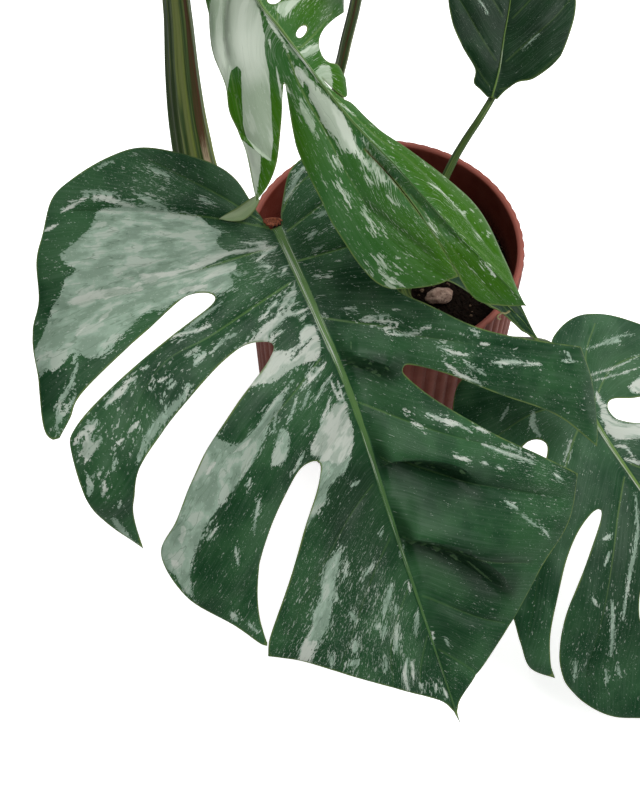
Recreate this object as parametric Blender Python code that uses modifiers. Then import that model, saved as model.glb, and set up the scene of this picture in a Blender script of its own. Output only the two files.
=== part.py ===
"""Potted monstera: a fluted pot, its soil, a short stem and six leaves on their petioles.

Lengths below are millimetres; MM turns them into metres where a mesh or a curve is made.
A leaf is drawn flat first, as (s, t): s runs along the midrib from the petiole to the tip,
t runs across it. blade_point then bends the flat leaf along its midrib.
"""
import math

import bpy
import bmesh
import numpy as np
from mathutils import Matrix, Vector, geometry, noise
from mathutils.bvhtree import BVHTree

MM = 0.001
GAP = 0.3

POT_HEIGHT = 150.0
POT_RIM_RADIUS = 85.0
POT_BASE_RADIUS = 80.0
POT_RIM_WIDTH = 5.0
POT_EDGE_IN = 1.6
POT_EDGE_DOWN = 2.0
POT_EDGE_FLUTING = 0.6
POT_LIP_SLOPE = 0.5
POT_FLOOR = 4.0
POT_FLOOR_WALL = 4.5
FLUTES = 66
FLUTE_DEPTH = 1.5
DRAIN_RADIUS = 4.0
DRAIN_CIRCLE = 36.0
DRAIN_HOLES = 6
DRAIN_SIDES = 8

SOIL_TOP = 120.0
SOIL_EDGE_DROP = 1.0
SOIL_CLEAR = 0.5
SOIL_BUMP = 2.2
SOIL_WAVE = 22.0
SOIL_LUMP = 7.7
SOIL_RINGS = 7
SOIL_SIDES = 60

STEM_FOOT = (9.0, -17.0)
STEM_RADIUS = 8.0
STEM_BOTTOM = 70.0
STEM_SIDES = 16
STEM_PROFILE = (
    # height, change of radius
    (STEM_BOTTOM, 0.0), (118.0, 0.0), (124.0, -0.6), (130.0, 0.0), (136.0, -0.8),
    (142.0, 0.0), (147.0, -0.9), (151.0, -3.0),
)

BARK_PIECES = (
    # centre x, y, length, width, height, turn in degrees
    (34.0, -21.0, 17.0, 11.0, 8.0, 12.0),
    (47.0, 20.0, 13.0, 9.0, 6.0, 60.0),
    (-38.0, 34.0, 15.0, 10.0, 7.0, -35.0),
)
BARK_ROUGHNESS = 0.16

BLADE = 0.8
RIB_DEPTH = 3.2
RIB_WIDTH = 4.0
RIB_START = 4.0
RIB_STEP = 11.0
EDGE_STEP = 3.0
EDGE_TOLERANCE = 0.4
EDGE_LONGEST = 15.0
HOLE_STEP = 3.6
GRID_STEP = 14.0
GRID_CLEAR = 0.55
ROW_SHARE = 0.87

FRONT_LEFT = (
    ((0, -3), (-13, -6), (-30, -9), (-42, -17), (-55, -33), (-63, -48), (-64, -64), (-61, -85),
     (-56, -98), (-42, -109), (-31, -117), (-13, -124), (1, -134), (24, -140), (50, -148)),
    ((39, -124), (27, -90), (17, -64), (16, -54), (20, -46), (25, -49), (32, -75), (41, -108),
     (50, -134), (57, -141), (76, -145), (100, -140), (123, -128)),
    ((106, -127), (90, -124), (74, -117), (64, -98), (57, -78), (50, -55), (48, -40), (52, -28),
     (58, -34), (68, -60), (81, -82), (97, -95), (114, -108), (130, -121), (158, -116), (182, -99),
     (202, -89)),
    ((187, -87), (165, -82), (150, -75), (130, -60), (116, -42), (113, -33), (117, -28),
     (125, -33), (142, -48), (166, -66), (190, -80), (203, -84)),
    ((218, -71), (240, -46), (260, -22), (274, -6), (286, 0)),
)
FRONT_RIGHT = (
    ((0, 3), (-10, 8), (-25, 20), (-29, 36), (-23, 49), (-10, 61), (6, 67), (24, 71), (51, 69)),
    ((44, 56), (38, 42), (39, 34), (45, 34), (64, 48), (86, 72), (100, 92), (116, 119), (127, 139)),
    ((147, 140), (170, 135), (181, 130)),
    ((153, 109), (127, 78), (105, 53), (93, 36), (92, 31), (97, 31), (117, 44), (145, 68),
     (170, 93), (189, 112)),
    ((211, 97), (229, 70), (251, 43), (269, 17), (278, 5), (286, 0)),
)

UPPER_LEFT = (
    ((0, -3), (-3, -9), (0, -16), (9, -21), (20, -24), (40, -31), (56, -35), (67, -41),
     (84, -46), (102, -57)),
    ((100, -47), (95, -37), (84, -25), (75, -17), (71, -13), (77, -16), (91, -24), (99, -28),
     (119, -35), (138, -39), (162, -43), (176, -40), (188, -29), (196, -13)),
    ((176, -10), (155, -7.5), (136, -6.4), (122, -5.6), (118, -4.6), (122, -3.6), (138, -3.8),
     (155, -4.8), (172, -7.2), (190, -11), (206, -15), (215, -14), (225, -7), (232, 0)),
)
UPPER_RIGHT = (
    ((0, 3), (-9, 10), (-14, 30), (-2, 54), (20, 70), (44, 72), (60, 61), (69, 49)),
    ((67, 38), (66, 25), (69, 16), (74, 12), (78, 12), (82, 17), (87, 19)),
    ((91, 14), (91, 10), (84, 6), (80, 4.4), (84, 3.2), (92, 6), (100, 10), (112, 12),
     (125, 14), (138, 18), (158, 25), (180, 29), (200, 24), (213, 15), (223, 6), (232, 0)),
)

RIGHT_LEFT = (
    ((0, -3), (-10, -9), (-28, -24), (-43, -42), (-40, -62), (-26, -74), (-2, -85), (20, -96),
     (38, -104)),
    ((32, -84), (20, -62), (12, -46), (11, -38), (14, -33), (18, -35), (25, -46), (37, -66),
     (50, -88), (62, -102), (75, -108), (87, -113), (104, -117), (121, -108)),
    ((108, -105), (90, -94), (71, -72), (58, -49), (54, -33), (58, -30), (71, -53), (87, -81),
     (106, -98), (125, -104), (141, -103), (154, -99), (167, -90), (176, -76), (190, -50),
     (201, -24), (208, -8), (214, 0)),
)
RIGHT_RIGHT = (
    ((0, 3), (-12, 6), (-30, 1), (-40, -2), (-47, 7), (-50, 18), (-48, 30), (-41, 45), (-28, 61),
     (-8, 78), (14, 88)),
    ((12, 66), (11, 45), (9, 28), (5, 16), (8, 11), (15, 11), (21, 14), (29, 23), (40, 44),
     (54, 68), (64, 88), (76, 97), (92, 100), (106, 97)),
    ((96, 82), (84, 62), (74, 42), (72, 32), (77, 30), (86, 40), (100, 60), (114, 78), (128, 90)),
    ((146, 84), (164, 66), (184, 42), (198, 20), (206, 8), (214, 0)),
)

HEART_LEFT = (
    ((0, -3), (7, -7), (12, -12), (16, -22), (27, -34), (45, -38), (62, -38), (82, -32),
     (102, -18), (115, -7), (126, 0)),
)
HEART_RIGHT = (
    ((0, 3), (3, 8), (6, 13), (14, 14), (25, 22), (40, 32), (56, 37), (76, 34), (98, 20),
     (114, 7), (126, 0)),
)

SMALL_LEFT = (
    ((0, -3), (5, -11), (18, -16), (32, -12), (49, -8), (64, -6), (76, -3), (85, 0)),
)
SMALL_RIGHT = (
    ((0, 3), (4, 12), (18, 16), (40, 12), (61, 6), (74, 2), (85, 0)),
)


def scaled_runs(runs, factor, mirror=1.0):
    """The same margin at another size, mirrored across the midrib where mirror is -1."""
    return tuple(tuple((s * factor, t * factor * mirror) for s, t in run) for run in runs)


BACK_SCALE = 0.66

LEAVES = {
    "leaf_front": {
        "midrib": ((-61, -88, 270), (-40, -128, 246), (-22, -157, 213), (1, -201, 154),
                   (35, -270, 78)),
        "roll": 2.0, "fold": (12.0, 10.0), "droop": (20.0, 18.0),
        "left": FRONT_LEFT, "right": FRONT_RIGHT, "holes": (),
    },
    "leaf_upper": {
        "midrib": ((-76, -32, 405), (-67, -63, 397), (-56, -75, 388), (-28, -94, 357),
                   (-2, -105, 330), (25, -118, 302), (60, -134, 268)),
        "roll": 0.0, "fold": (-40.0, -12.0), "droop": (14.0, 20.0),
        "left": UPPER_LEFT, "right": UPPER_RIGHT,
        "holes": ((59.0, 11.0, 2.0, 4.6, 0.0), (37.0, 9.0, 3.0, 4.6, 0.0)),
    },
    "leaf_right": {
        "midrib": ((115, -98, 126), (124, -118, 121), (146, -146, 104), (186, -187, 66),
                   (227, -240, 22)),
        "roll": 0.0, "fold": (8.0, 10.0), "droop": (42.0, 16.0),
        "left": RIGHT_LEFT, "right": RIGHT_RIGHT, "holes": ((112.0, -38.0, 15.0, 5.0, -42.0),),
    },
    "leaf_heart": {
        "midrib": ((62, 56, 215), (66, 68, 225), (69, 85, 236), (73, 105, 246), (78, 143, 258),
                   (81, 168, 260)),
        "roll": 0.0, "fold": (12.0, 12.0), "droop": (8.0, 8.0),
        "left": HEART_LEFT, "right": HEART_RIGHT, "holes": (),
    },
    "leaf_small": {
        "midrib": ((31, -27, 172), (49, -52, 180), (68, -67, 174), (86, -80, 160)),
        "roll": 0.0, "fold": (20.0, 20.0), "droop": (8.0, 8.0),
        "left": SMALL_LEFT, "right": SMALL_RIGHT, "holes": (),
    },
    "leaf_back": {
        "midrib": ((-12, 40, 455), (-22, 84, 462), (-36, 128, 452), (-50, 168, 424),
                   (-60, 200, 386)),
        "roll": 0.0, "fold": (14.0, 14.0), "droop": (18.0, 18.0),
        "left": scaled_runs(FRONT_RIGHT, BACK_SCALE, -1.0),
        "right": scaled_runs(FRONT_LEFT, BACK_SCALE, -1.0), "holes": (),
    },
}

# Each petiole: its leaf, its radii at even steps from foot to top, the height of its foot on the
# stem, and the points of its route.
PETIOLES = {
    "petiole_front": ("leaf_front", (6.0, 4.6), 144.0,
                      ((-5, -32, 156), (-14, -47, 186), (-32, -65, 222), (-49, -81, 247))),
    "petiole_upper": ("leaf_upper", (8.0, 10.5, 10.5, 7.2, 5.8, 4.8), 130.0,
                      ((-20, -10, 137), (-48, -16, 153), (-75, -18, 167), (-96, -9, 182),
                       (-108, 7, 203), (-113, 20, 228), (-115, 30, 258), (-115, 36, 292),
                       (-115, 38, 325), (-112, 32, 358), (-103, 20, 380), (-90, 4, 391),
                       (-81, -14, 393))),
    "petiole_right": ("leaf_right", (5.0, 4.2), 136.0,
                      ((12, -42, 144), (19, -60, 154), (31, -77, 163), (48, -86, 166),
                       (70, -84, 162), (86, -77, 151), (95, -74, 141), (102, -80, 129),
                       (109, -90, 118))),
    "petiole_heart": ("leaf_heart", (3.4, 1.9), 131.0,
                      ((21, 8, 138), (32, 29, 158), (41, 41, 176), (48, 47, 189), (56, 52, 203))),
    "petiole_small": ("leaf_small", (2.4, 2.0), 142.0,
                      ((24, -24, 146), (31, -26, 158))),
    "petiole_back": ("leaf_back", (3.8, 2.6), 139.0,
                     ((-5, 16, 146), (-20, 38, 182), (-29, 50, 225), (-26, 45, 262), (-20, 44, 300),
                      (-16, 42, 345), (-13, 40, 400), (-12, 41, 435))),
}
PETIOLE_POINT_STEP = 9.0
PETIOLE_FOOT_CLEAR = 0.1
PETIOLE_LEAF_CLEAR = 0.5
PETIOLE_FOOT_RUN = 3.0
PETIOLE_TOP_RUN = 1.6

COLOURS = {
    "pot": ((0.40, 0.13, 0.09), 0.55),
    "soil": ((0.03, 0.02, 0.014), 0.95),
    "stem": ((0.30, 0.32, 0.11), 0.55),
    "bark_chip": ((0.24, 0.15, 0.10), 0.9),
    "petiole": ((0.10, 0.17, 0.05), 0.45),
    "leaf_front": ((0.06, 0.14, 0.08), 0.4),
    "leaf_upper": ((0.16, 0.28, 0.12), 0.4),
    "leaf_right": ((0.04, 0.11, 0.07), 0.4),
    "leaf_heart": ((0.02, 0.08, 0.05), 0.4),
    "leaf_small": ((0.03, 0.10, 0.05), 0.4),
    "leaf_back": ((0.06, 0.15, 0.07), 0.4),
}


def clear_scene():
    for obj in list(bpy.data.objects):
        bpy.data.objects.remove(obj, do_unlink=True)


def collection(name):
    made = bpy.data.collections.new(name)
    bpy.context.scene.collection.children.link(made)
    return made


def material(name, key):
    colour, roughness = COLOURS[key]
    made = bpy.data.materials.new(name)
    made.use_nodes = True
    shader = made.node_tree.nodes["Principled BSDF"]
    shader.inputs["Base Color"].default_value = (*colour, 1.0)
    shader.inputs["Roughness"].default_value = roughness
    shader.inputs["Metallic"].default_value = 0.0
    made.diffuse_color = (*colour, 1.0)
    return made


def object_from(name, bm, home, key=None):
    """A new mesh object from a bmesh, with its faces turned outwards."""
    bmesh.ops.recalc_face_normals(bm, faces=bm.faces)
    mesh = bpy.data.meshes.new(name)
    bm.to_mesh(mesh)
    bm.free()
    obj = bpy.data.objects.new(name, mesh)
    home.objects.link(obj)
    if key:
        mesh.materials.append(material(name, key))
    return obj


def cut(obj, cutter, modifier_name):
    cutter.hide_render = True
    cutter.display_type = "WIRE"
    boolean = obj.modifiers.new(modifier_name, "BOOLEAN")
    boolean.operation = "DIFFERENCE"
    boolean.object = cutter


def cylinder(name, radius, low, high, centre, sides, home, key=None):
    bm = bmesh.new()
    bmesh.ops.create_cone(bm, cap_ends=True, segments=sides, radius1=radius * MM,
                          radius2=radius * MM, depth=(high - low) * MM)
    bmesh.ops.translate(bm, verts=bm.verts, vec=(centre[0] * MM, centre[1] * MM,
                                                 (low + high) / 2 * MM))
    return object_from(name, bm, home, key)


def wall_radius(height):
    """Radius of the pot's outer wall, flute tops, at a height."""
    return POT_BASE_RADIUS + (POT_RIM_RADIUS - POT_BASE_RADIUS) * height / POT_HEIGHT


def inner_radius(height):
    """Radius of the pot's inner wall at a height."""
    low = wall_radius(POT_FLOOR) - POT_FLOOR_WALL
    high = POT_RIM_RADIUS - POT_RIM_WIDTH
    return low + (high - low) * (height - POT_FLOOR) / (POT_HEIGHT - POT_LIP_SLOPE - POT_FLOOR)


def make_pot(home, cutters):
    """Fluted outer wall, flat lip and plain inner wall, joined ring by ring, with drain holes."""
    sides = FLUTES * 2
    shoulder = POT_HEIGHT - POT_EDGE_DOWN
    lip = POT_HEIGHT - POT_LIP_SLOPE
    rings = (
        (POT_BASE_RADIUS, 0.0, 1.0),
        (wall_radius(shoulder), shoulder, 1.0),
        (POT_RIM_RADIUS - POT_EDGE_IN, POT_HEIGHT, POT_EDGE_FLUTING),
        (inner_radius(lip), lip, 0.0),
        (inner_radius(POT_FLOOR), POT_FLOOR, 0.0),
    )
    bm = bmesh.new()
    loops = []
    for radius, height, fluting in rings:
        loop = []
        for i in range(sides):
            angle = 2 * math.pi * i / sides
            r = radius - (i % 2) * FLUTE_DEPTH * fluting
            place = (r * math.cos(angle) * MM, r * math.sin(angle) * MM, height * MM)
            loop.append(bm.verts.new(place))
        loops.append(loop)
    for lower, upper in zip(loops, loops[1:]):
        for i in range(sides):
            j = (i + 1) % sides
            bm.faces.new((lower[i], lower[j], upper[j], upper[i]))
    bm.faces.new(tuple(reversed(loops[0])))
    bm.faces.new(loops[-1])
    bmesh.ops.triangulate(bm, faces=bm.faces)
    pot = object_from("pot", bm, home, "pot")
    for k in range(DRAIN_HOLES):
        angle = 2 * math.pi * k / DRAIN_HOLES
        place = (DRAIN_CIRCLE * math.cos(angle), DRAIN_CIRCLE * math.sin(angle))
        drill = cylinder(f"drain_cutter_{k}", DRAIN_RADIUS, -POT_FLOOR, 2 * POT_FLOOR, place,
                         DRAIN_SIDES, cutters)
        cut(pot, drill, f"drain_{k}")


def soil_height(x, y):
    """Height of the soil's uneven top at a place."""
    wave = noise.noise(Vector((x / SOIL_WAVE, y / SOIL_WAVE, 3.7)))
    lump = noise.noise(Vector((x / SOIL_LUMP, y / SOIL_LUMP, 9.1)))
    return SOIL_TOP + SOIL_BUMP * (wave + 0.6 * lump)


def make_soil(home, cutters):
    """Potting mix that fills the pot, with a rolling top and a plain hole for the stem."""
    bottom = POT_FLOOR + GAP
    edge_top = SOIL_TOP - SOIL_EDGE_DROP
    bm = bmesh.new()
    centre = bm.verts.new((0.0, 0.0, soil_height(0.0, 0.0) * MM))
    rings = []
    for ring in range(1, SOIL_RINGS + 2):
        loop = []
        for i in range(SOIL_SIDES):
            angle = 2 * math.pi * i / SOIL_SIDES
            wall = bottom if ring > SOIL_RINGS else edge_top
            r = (inner_radius(wall) - SOIL_CLEAR) * min(1.0, ring / SOIL_RINGS)
            x, y = r * math.cos(angle), r * math.sin(angle)
            z = wall if ring >= SOIL_RINGS else soil_height(x, y)
            loop.append(bm.verts.new((x * MM, y * MM, z * MM)))
        rings.append(loop)
    for i in range(SOIL_SIDES):
        j = (i + 1) % SOIL_SIDES
        bm.faces.new((centre, rings[0][i], rings[0][j]))
        for inner, outer in zip(rings, rings[1:]):
            bm.faces.new((inner[i], outer[i], outer[j], inner[j]))
    bm.faces.new(tuple(reversed(rings[-1])))
    bmesh.ops.triangulate(bm, faces=bm.faces)
    soil = object_from("soil", bm, home, "soil")
    hole = cylinder("stem_hole_cutter", STEM_RADIUS + SOIL_CLEAR, STEM_BOTTOM - GAP, POT_HEIGHT,
                    STEM_FOOT, STEM_SIDES, cutters)
    cut(soil, hole, "stem_hole")
    return soil


def make_stem(home):
    """Short ringed stem: a turned profile with a swelling at each node."""
    bm = bmesh.new()
    previous = None
    first = None
    for height, change in STEM_PROFILE:
        loop = []
        for i in range(STEM_SIDES):
            angle = 2 * math.pi * i / STEM_SIDES
            r = STEM_RADIUS + change
            loop.append(bm.verts.new(((STEM_FOOT[0] + r * math.cos(angle)) * MM,
                                      (STEM_FOOT[1] + r * math.sin(angle)) * MM, height * MM)))
        if previous:
            for i in range(STEM_SIDES):
                j = (i + 1) % STEM_SIDES
                bm.faces.new((previous[i], previous[j], loop[j], loop[i]))
        else:
            first = loop
        previous = loop
    bm.faces.new(tuple(reversed(first)))
    bm.faces.new(previous)
    bmesh.ops.triangulate(bm, faces=bm.faces)
    object_from("stem", bm, home, "stem")


def make_bark(soil, home):
    """Bark chips: flattened, slightly uneven stones, each let down until it rests on the soil."""
    ground = BVHTree.FromPolygons([v.co for v in soil.data.vertices],
                                  [tuple(p.vertices) for p in soil.data.polygons])
    down = Vector((0.0, 0.0, -1.0))
    for number, (x, y, length, width, height, turn) in enumerate(BARK_PIECES, start=1):
        bm = bmesh.new()
        bmesh.ops.create_icosphere(bm, subdivisions=2, radius=0.5)
        for v in bm.verts:
            start = v.co * 3.0 + Vector((number * 5.0, 0.0, 0.0))
            v.co *= 1.0 + BARK_ROUGHNESS * noise.noise(start)
        size = Matrix.Diagonal((length * MM, width * MM, height * MM, 1.0))
        spin = Matrix.Rotation(math.radians(turn), 4, "Z")
        above = Matrix.Translation((x * MM, y * MM, POT_HEIGHT * MM))
        bmesh.ops.transform(bm, matrix=above @ spin @ size, verts=bm.verts)
        fall = min(ground.ray_cast(v.co, down)[3] for v in bm.verts)
        bmesh.ops.translate(bm, verts=bm.verts, vec=down * (fall - GAP * MM))
        object_from(f"bark_chip_{number}", bm, home, "bark_chip")


def catmull(points, per):
    """Points of a smooth curve through the given ones, per steps to each span."""
    p = [np.array(q, float) for q in points]
    out = []
    for i in range(len(p) - 1):
        before = p[i - 1] if i else 2 * p[i] - p[i + 1]
        after = p[i + 2] if i + 2 < len(p) else 2 * p[i + 1] - p[i]
        for k in range(per):
            u = k / per
            out.append(0.5 * (2 * p[i] + (p[i + 1] - before) * u
                              + (2 * before - 5 * p[i] + 4 * p[i + 1] - after) * u * u
                              + (3 * p[i] - before - 3 * p[i + 1] + after) * u ** 3))
    out.append(p[-1])
    return np.array(out)


def even_steps(curve, step):
    """The curve's points again, at even distances of about step; both ends stay."""
    lengths = np.r_[0, np.cumsum(np.linalg.norm(np.diff(curve, axis=0), axis=1))]
    count = max(1, int(round(lengths[-1] / step)))
    marks = np.linspace(0, lengths[-1], count + 1)
    return np.stack([np.interp(marks, lengths, curve[:, k]) for k in range(curve.shape[1])], 1)


def thinned(curve, low, high):
    """The marks between two ends of a curve that it needs to keep its shape, ends left out."""
    start, end = curve[low], curve[high]
    chord = end - start
    length = float(np.hypot(*chord))
    if high - low < 2:
        return []
    offsets = curve[low + 1:high] - start
    away = np.abs(offsets[:, 0] * chord[1] - offsets[:, 1] * chord[0]) / length
    split = low + 1 + int(np.argmax(away))
    if away.max() < EDGE_TOLERANCE:
        if length < EDGE_LONGEST:
            return []
        split = (low + high) // 2
    return thinned(curve, low, split) + [split] + thinned(curve, split, high)


def margin(runs):
    """One side of a leaf's edge, from the petiole to the tip. A run ends at a corner."""
    out = []
    start = None
    for run in runs:
        points = run if start is None else (start, *run)
        curve = even_steps(catmull(points, 10), EDGE_STEP)
        kept = [0] + thinned(curve, 0, len(curve) - 1)
        out.extend(tuple(curve[i]) for i in kept)
        start = run[-1]
    out.append(tuple(start))
    return out


def midrib_frame(leaf, s):
    """Place on the midrib at s, with the directions along it, across it and up from the blade."""
    curve, lengths = leaf["curve"], leaf["lengths"]
    total = lengths[-1]

    def at(u):
        inside = np.array([np.interp(u, lengths, curve[:, k]) for k in range(3)])
        if u < 0:
            inside = inside + u * leaf["first"]
        if u > total:
            inside = inside + (u - total) * leaf["last"]
        return inside

    along = at(s + 6.0) - at(s - 6.0)
    along /= np.linalg.norm(along)
    level = np.cross((0.0, 0.0, 1.0), along)
    level /= np.linalg.norm(level)
    up = np.cross(along, level)
    roll = math.radians(leaf["roll"])
    across = level * math.cos(roll) - up * math.sin(roll)
    return at(s), along, across, np.cross(along, across)


def flatness(s):
    """How much of its fold a blade has at s: it lies flatter where the petiole joins it."""
    return min(1.0, max(0.25, (s + 8.0) / 34.0))


def blade_point(leaf, s, t, lift=0.0):
    """Where the flat leaf's point (s, t) lies: each half rises by fold and then droops."""
    place, along, across, up = midrib_frame(leaf, s)
    side = 0 if t < 0 else 1
    fold = math.radians(leaf["fold"][side]) * flatness(s)
    droop = math.radians(leaf["droop"][side]) / 100.0
    distance = abs(t)
    out = (math.sin(fold) - math.sin(fold - droop * distance)) / droop
    rise = (math.cos(fold - droop * distance) - math.cos(fold)) / droop
    return place + math.copysign(out, t) * across + (rise + lift) * up


def prepare(leaf):
    """Adds the midrib's smooth curve and its lengths to a leaf's values."""
    curve = catmull(leaf["midrib"], 24)
    leaf["curve"] = curve
    leaf["lengths"] = np.r_[0, np.cumsum(np.linalg.norm(np.diff(curve, axis=0), axis=1))]
    leaf["first"] = (curve[3] - curve[0]) / np.linalg.norm(curve[3] - curve[0])
    leaf["last"] = (curve[-1] - curve[-4]) / np.linalg.norm(curve[-1] - curve[-4])


def inside_loop(x, y, loop):
    """Even-odd test of a point against a closed loop."""
    found = False
    for (x1, y1), (x2, y2) in zip(loop, loop[1:] + loop[:1]):
        if (y1 > y) != (y2 > y) and x < (x2 - x1) * (y - y1) / (y2 - y1) + x1:
            found = not found
    return found


def hole_loop(s, t, half_s, half_t, turn):
    """An oval window in the blade, turned by an angle in degrees."""
    count = max(8, int(round(math.pi * (half_s + half_t) / HOLE_STEP)))
    cosine, sine = math.cos(math.radians(turn)), math.sin(math.radians(turn))
    loop = []
    for i in range(count):
        a = half_s * math.cos(2 * math.pi * i / count)
        b = half_t * math.sin(2 * math.pi * i / count)
        loop.append((s + a * cosine - b * sine, t + a * sine + b * cosine))
    return loop


def flat_leaf(leaf):
    """Triangles of the flat leaf: its edge, its holes, its midrib and a grid between them."""
    edge = margin(leaf["left"]) + margin(leaf["right"])[-2::-1]
    holes = [hole_loop(*hole) for hole in leaf["holes"]]
    points, edges = [], []
    for loop in [edge] + holes:
        base = len(points)
        points.extend(loop)
        edges.extend((base + i, base + (i + 1) % len(loop)) for i in range(len(loop)))
    tip = leaf["left"][-1][-1][0]
    reach = tip - RIB_START - GRID_STEP * GRID_CLEAR
    rows = max(2, int(round(reach / RIB_STEP)))
    rib = [(RIB_START + reach * i / rows, 0.0) for i in range(rows + 1)]
    base = len(points)
    points.extend(rib)
    edges.extend((base + i, base + i + 1) for i in range(len(rib) - 1))
    border = np.array(points)
    low, high = border.min(0), border.max(0)
    row = 0
    s = low[0]
    while s < high[0]:
        t = low[1] + (GRID_STEP / 2 if row % 2 else 0.0)
        while t < high[1]:
            near = np.min(np.hypot(border[:, 0] - s, border[:, 1] - t))
            if near > GRID_STEP * GRID_CLEAR and inside_loop(s, t, edge):
                if not any(inside_loop(s, t, hole) for hole in holes):
                    points.append((s, t))
            t += GRID_STEP
        s += GRID_STEP * ROW_SHARE
        row += 1
    found = geometry.delaunay_2d_cdt([Vector(q) for q in points], edges, [], 0, 1e-5)
    verts, faces = found[0], found[2]
    kept = []
    for face in faces:
        s = sum(verts[i].x for i in face) / len(face)
        t = sum(verts[i].y for i in face) / len(face)
        if inside_loop(s, t, edge) and not any(inside_loop(s, t, hole) for hole in holes):
            kept.append(tuple(face))
    return [(v.x, v.y) for v in verts], kept


def make_leaf(name, leaf, home):
    """A closed blade with its cut edge, and a rib that stands out underneath the midrib."""
    flat, faces = flat_leaf(leaf)
    bm = bmesh.new()
    verts = [bm.verts.new(Vector(blade_point(leaf, s, t)) * MM) for s, t in flat]
    for face in faces:
        bm.faces.new([verts[i] for i in face])
    loose = [v for v in bm.verts if not v.link_faces]
    kept = [q for q, v in zip(flat, verts) if v.link_faces]
    bmesh.ops.delete(bm, geom=loose, context="VERTS")
    upward = sum((f.normal * f.calc_area() for f in bm.faces), Vector())
    if upward.dot(Vector(midrib_frame(leaf, 40.0)[3])) < 0:
        bmesh.ops.reverse_faces(bm, faces=bm.faces)
    mesh = bpy.data.meshes.new(name)
    bm.to_mesh(mesh)
    bm.free()
    mesh.materials.append(material(name, name))
    obj = bpy.data.objects.new(name, mesh)
    home.objects.link(obj)
    rib = obj.vertex_groups.new(name="rib")
    tip = leaf["left"][-1][-1][0]
    for index, (s, t) in enumerate(kept):
        along = max(0.0, min(1.0, 1.0 - s / tip)) if s >= 0 else 0.0
        weight = along if abs(t) < RIB_WIDTH / 2 else 0.0
        rib.add([index], weight, "REPLACE")
    solid = obj.modifiers.new("thickness", "SOLIDIFY")
    solid.thickness = RIB_DEPTH * MM
    solid.offset = -1.0
    solid.vertex_group = "rib"
    solid.thickness_vertex_group = BLADE / RIB_DEPTH


def petiole_route(name):
    """The smooth route of a petiole, from the stem's side to the underside of its leaf."""
    leaf_name, radii, height, middle = PETIOLES[name]
    leaf = LEAVES[leaf_name]
    top_radius = radii[-1]
    first = np.array(middle[0], float)
    outward = np.array((first[0] - STEM_FOOT[0], first[1] - STEM_FOOT[1], 0.0))
    outward /= np.linalg.norm(outward)
    foot = np.array((*STEM_FOOT, height)) + outward * (STEM_RADIUS + GAP + PETIOLE_FOOT_CLEAR)
    foot_end = foot + outward * PETIOLE_FOOT_RUN
    joint = top_radius + 2.0
    _, _, _, up = midrib_frame(leaf, joint)
    hang = top_radius * math.sin(math.radians(max(0.0, -min(leaf["fold"]))) * flatness(joint))
    depth = max(RIB_DEPTH, BLADE + hang) + GAP + PETIOLE_LEAF_CLEAR
    under = blade_point(leaf, joint, 0.0, -depth)
    bend = under - up * (top_radius * PETIOLE_TOP_RUN)
    return [foot, foot_end, *[np.array(q, float) for q in middle], bend, under]


def make_petiole(name, home):
    """A tapering stalk: a curve with a bevel, sealed at both ends."""
    radii = PETIOLES[name][1]
    route = petiole_route(name)
    curve = bpy.data.curves.new(name, "CURVE")
    curve.dimensions = "3D"
    curve.bevel_depth = MM
    curve.bevel_resolution = 2
    curve.use_fill_caps = True
    body = even_steps(catmull(route[1:-1], 8), PETIOLE_POINT_STEP)
    points = [route[0], *body, route[-1]]
    shares = np.linspace(0.0, 1.0, len(points))
    spline = curve.splines.new("POLY")
    spline.points.add(len(points) - 1)
    for mark, point, share in zip(spline.points, points, shares):
        mark.co = (*(point * MM), 1.0)
        mark.radius = np.interp(share, np.linspace(0.0, 1.0, len(radii)), radii)
    curve.materials.append(material(name, "petiole"))
    home.objects.link(bpy.data.objects.new(name, curve))


def main():
    clear_scene()
    home = collection("potted_monstera")
    cutters = collection("cutters")
    for leaf in LEAVES.values():
        prepare(leaf)
    make_pot(home, cutters)
    soil = make_soil(home, cutters)
    make_stem(home)
    make_bark(soil, home)
    for name in PETIOLES:
        make_petiole(name, home)
    for name, leaf in LEAVES.items():
        make_leaf(name, leaf, home)


if __name__ == "__main__":
    main()
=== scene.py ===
"""Looks of a variegated monstera in a fluted pot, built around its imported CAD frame.

Lengths are millimetres in the design values, and MM turns them into metres in the meshes.
A leaf is drawn flat as (s, t): s runs along the midrib from the petiole to the tip, t across it.
"""
import math

import bpy
import bmesh
import numpy as np
from bpy.props import FloatProperty, FloatVectorProperty, IntProperty, PointerProperty
from mathutils import Matrix, Vector, geometry, noise


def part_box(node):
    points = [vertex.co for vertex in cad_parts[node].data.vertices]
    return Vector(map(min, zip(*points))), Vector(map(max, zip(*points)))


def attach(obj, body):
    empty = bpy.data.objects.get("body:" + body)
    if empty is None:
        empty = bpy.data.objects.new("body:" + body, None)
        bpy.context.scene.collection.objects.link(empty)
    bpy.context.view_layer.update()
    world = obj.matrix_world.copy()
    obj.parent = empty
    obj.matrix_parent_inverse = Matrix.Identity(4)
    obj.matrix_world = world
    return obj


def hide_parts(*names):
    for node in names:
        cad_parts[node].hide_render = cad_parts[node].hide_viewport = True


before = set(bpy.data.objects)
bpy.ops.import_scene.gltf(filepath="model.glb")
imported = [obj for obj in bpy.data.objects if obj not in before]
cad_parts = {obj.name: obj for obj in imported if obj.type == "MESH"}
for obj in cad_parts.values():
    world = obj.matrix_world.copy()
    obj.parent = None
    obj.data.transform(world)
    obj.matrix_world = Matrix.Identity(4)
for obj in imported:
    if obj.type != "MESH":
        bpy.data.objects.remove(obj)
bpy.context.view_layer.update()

bl_info = {
    "name": "Variegated Monstera",
    "version": (1, 0, 0),
    "blender": (4, 5, 0),
    "location": "View3D > Sidebar > Monstera",
    "description": "Builds a variegated monstera in a fluted pot, piece by piece",
    "category": "Object",
}

MM = 0.001
BODY = "root"
SEED = 7

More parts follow.
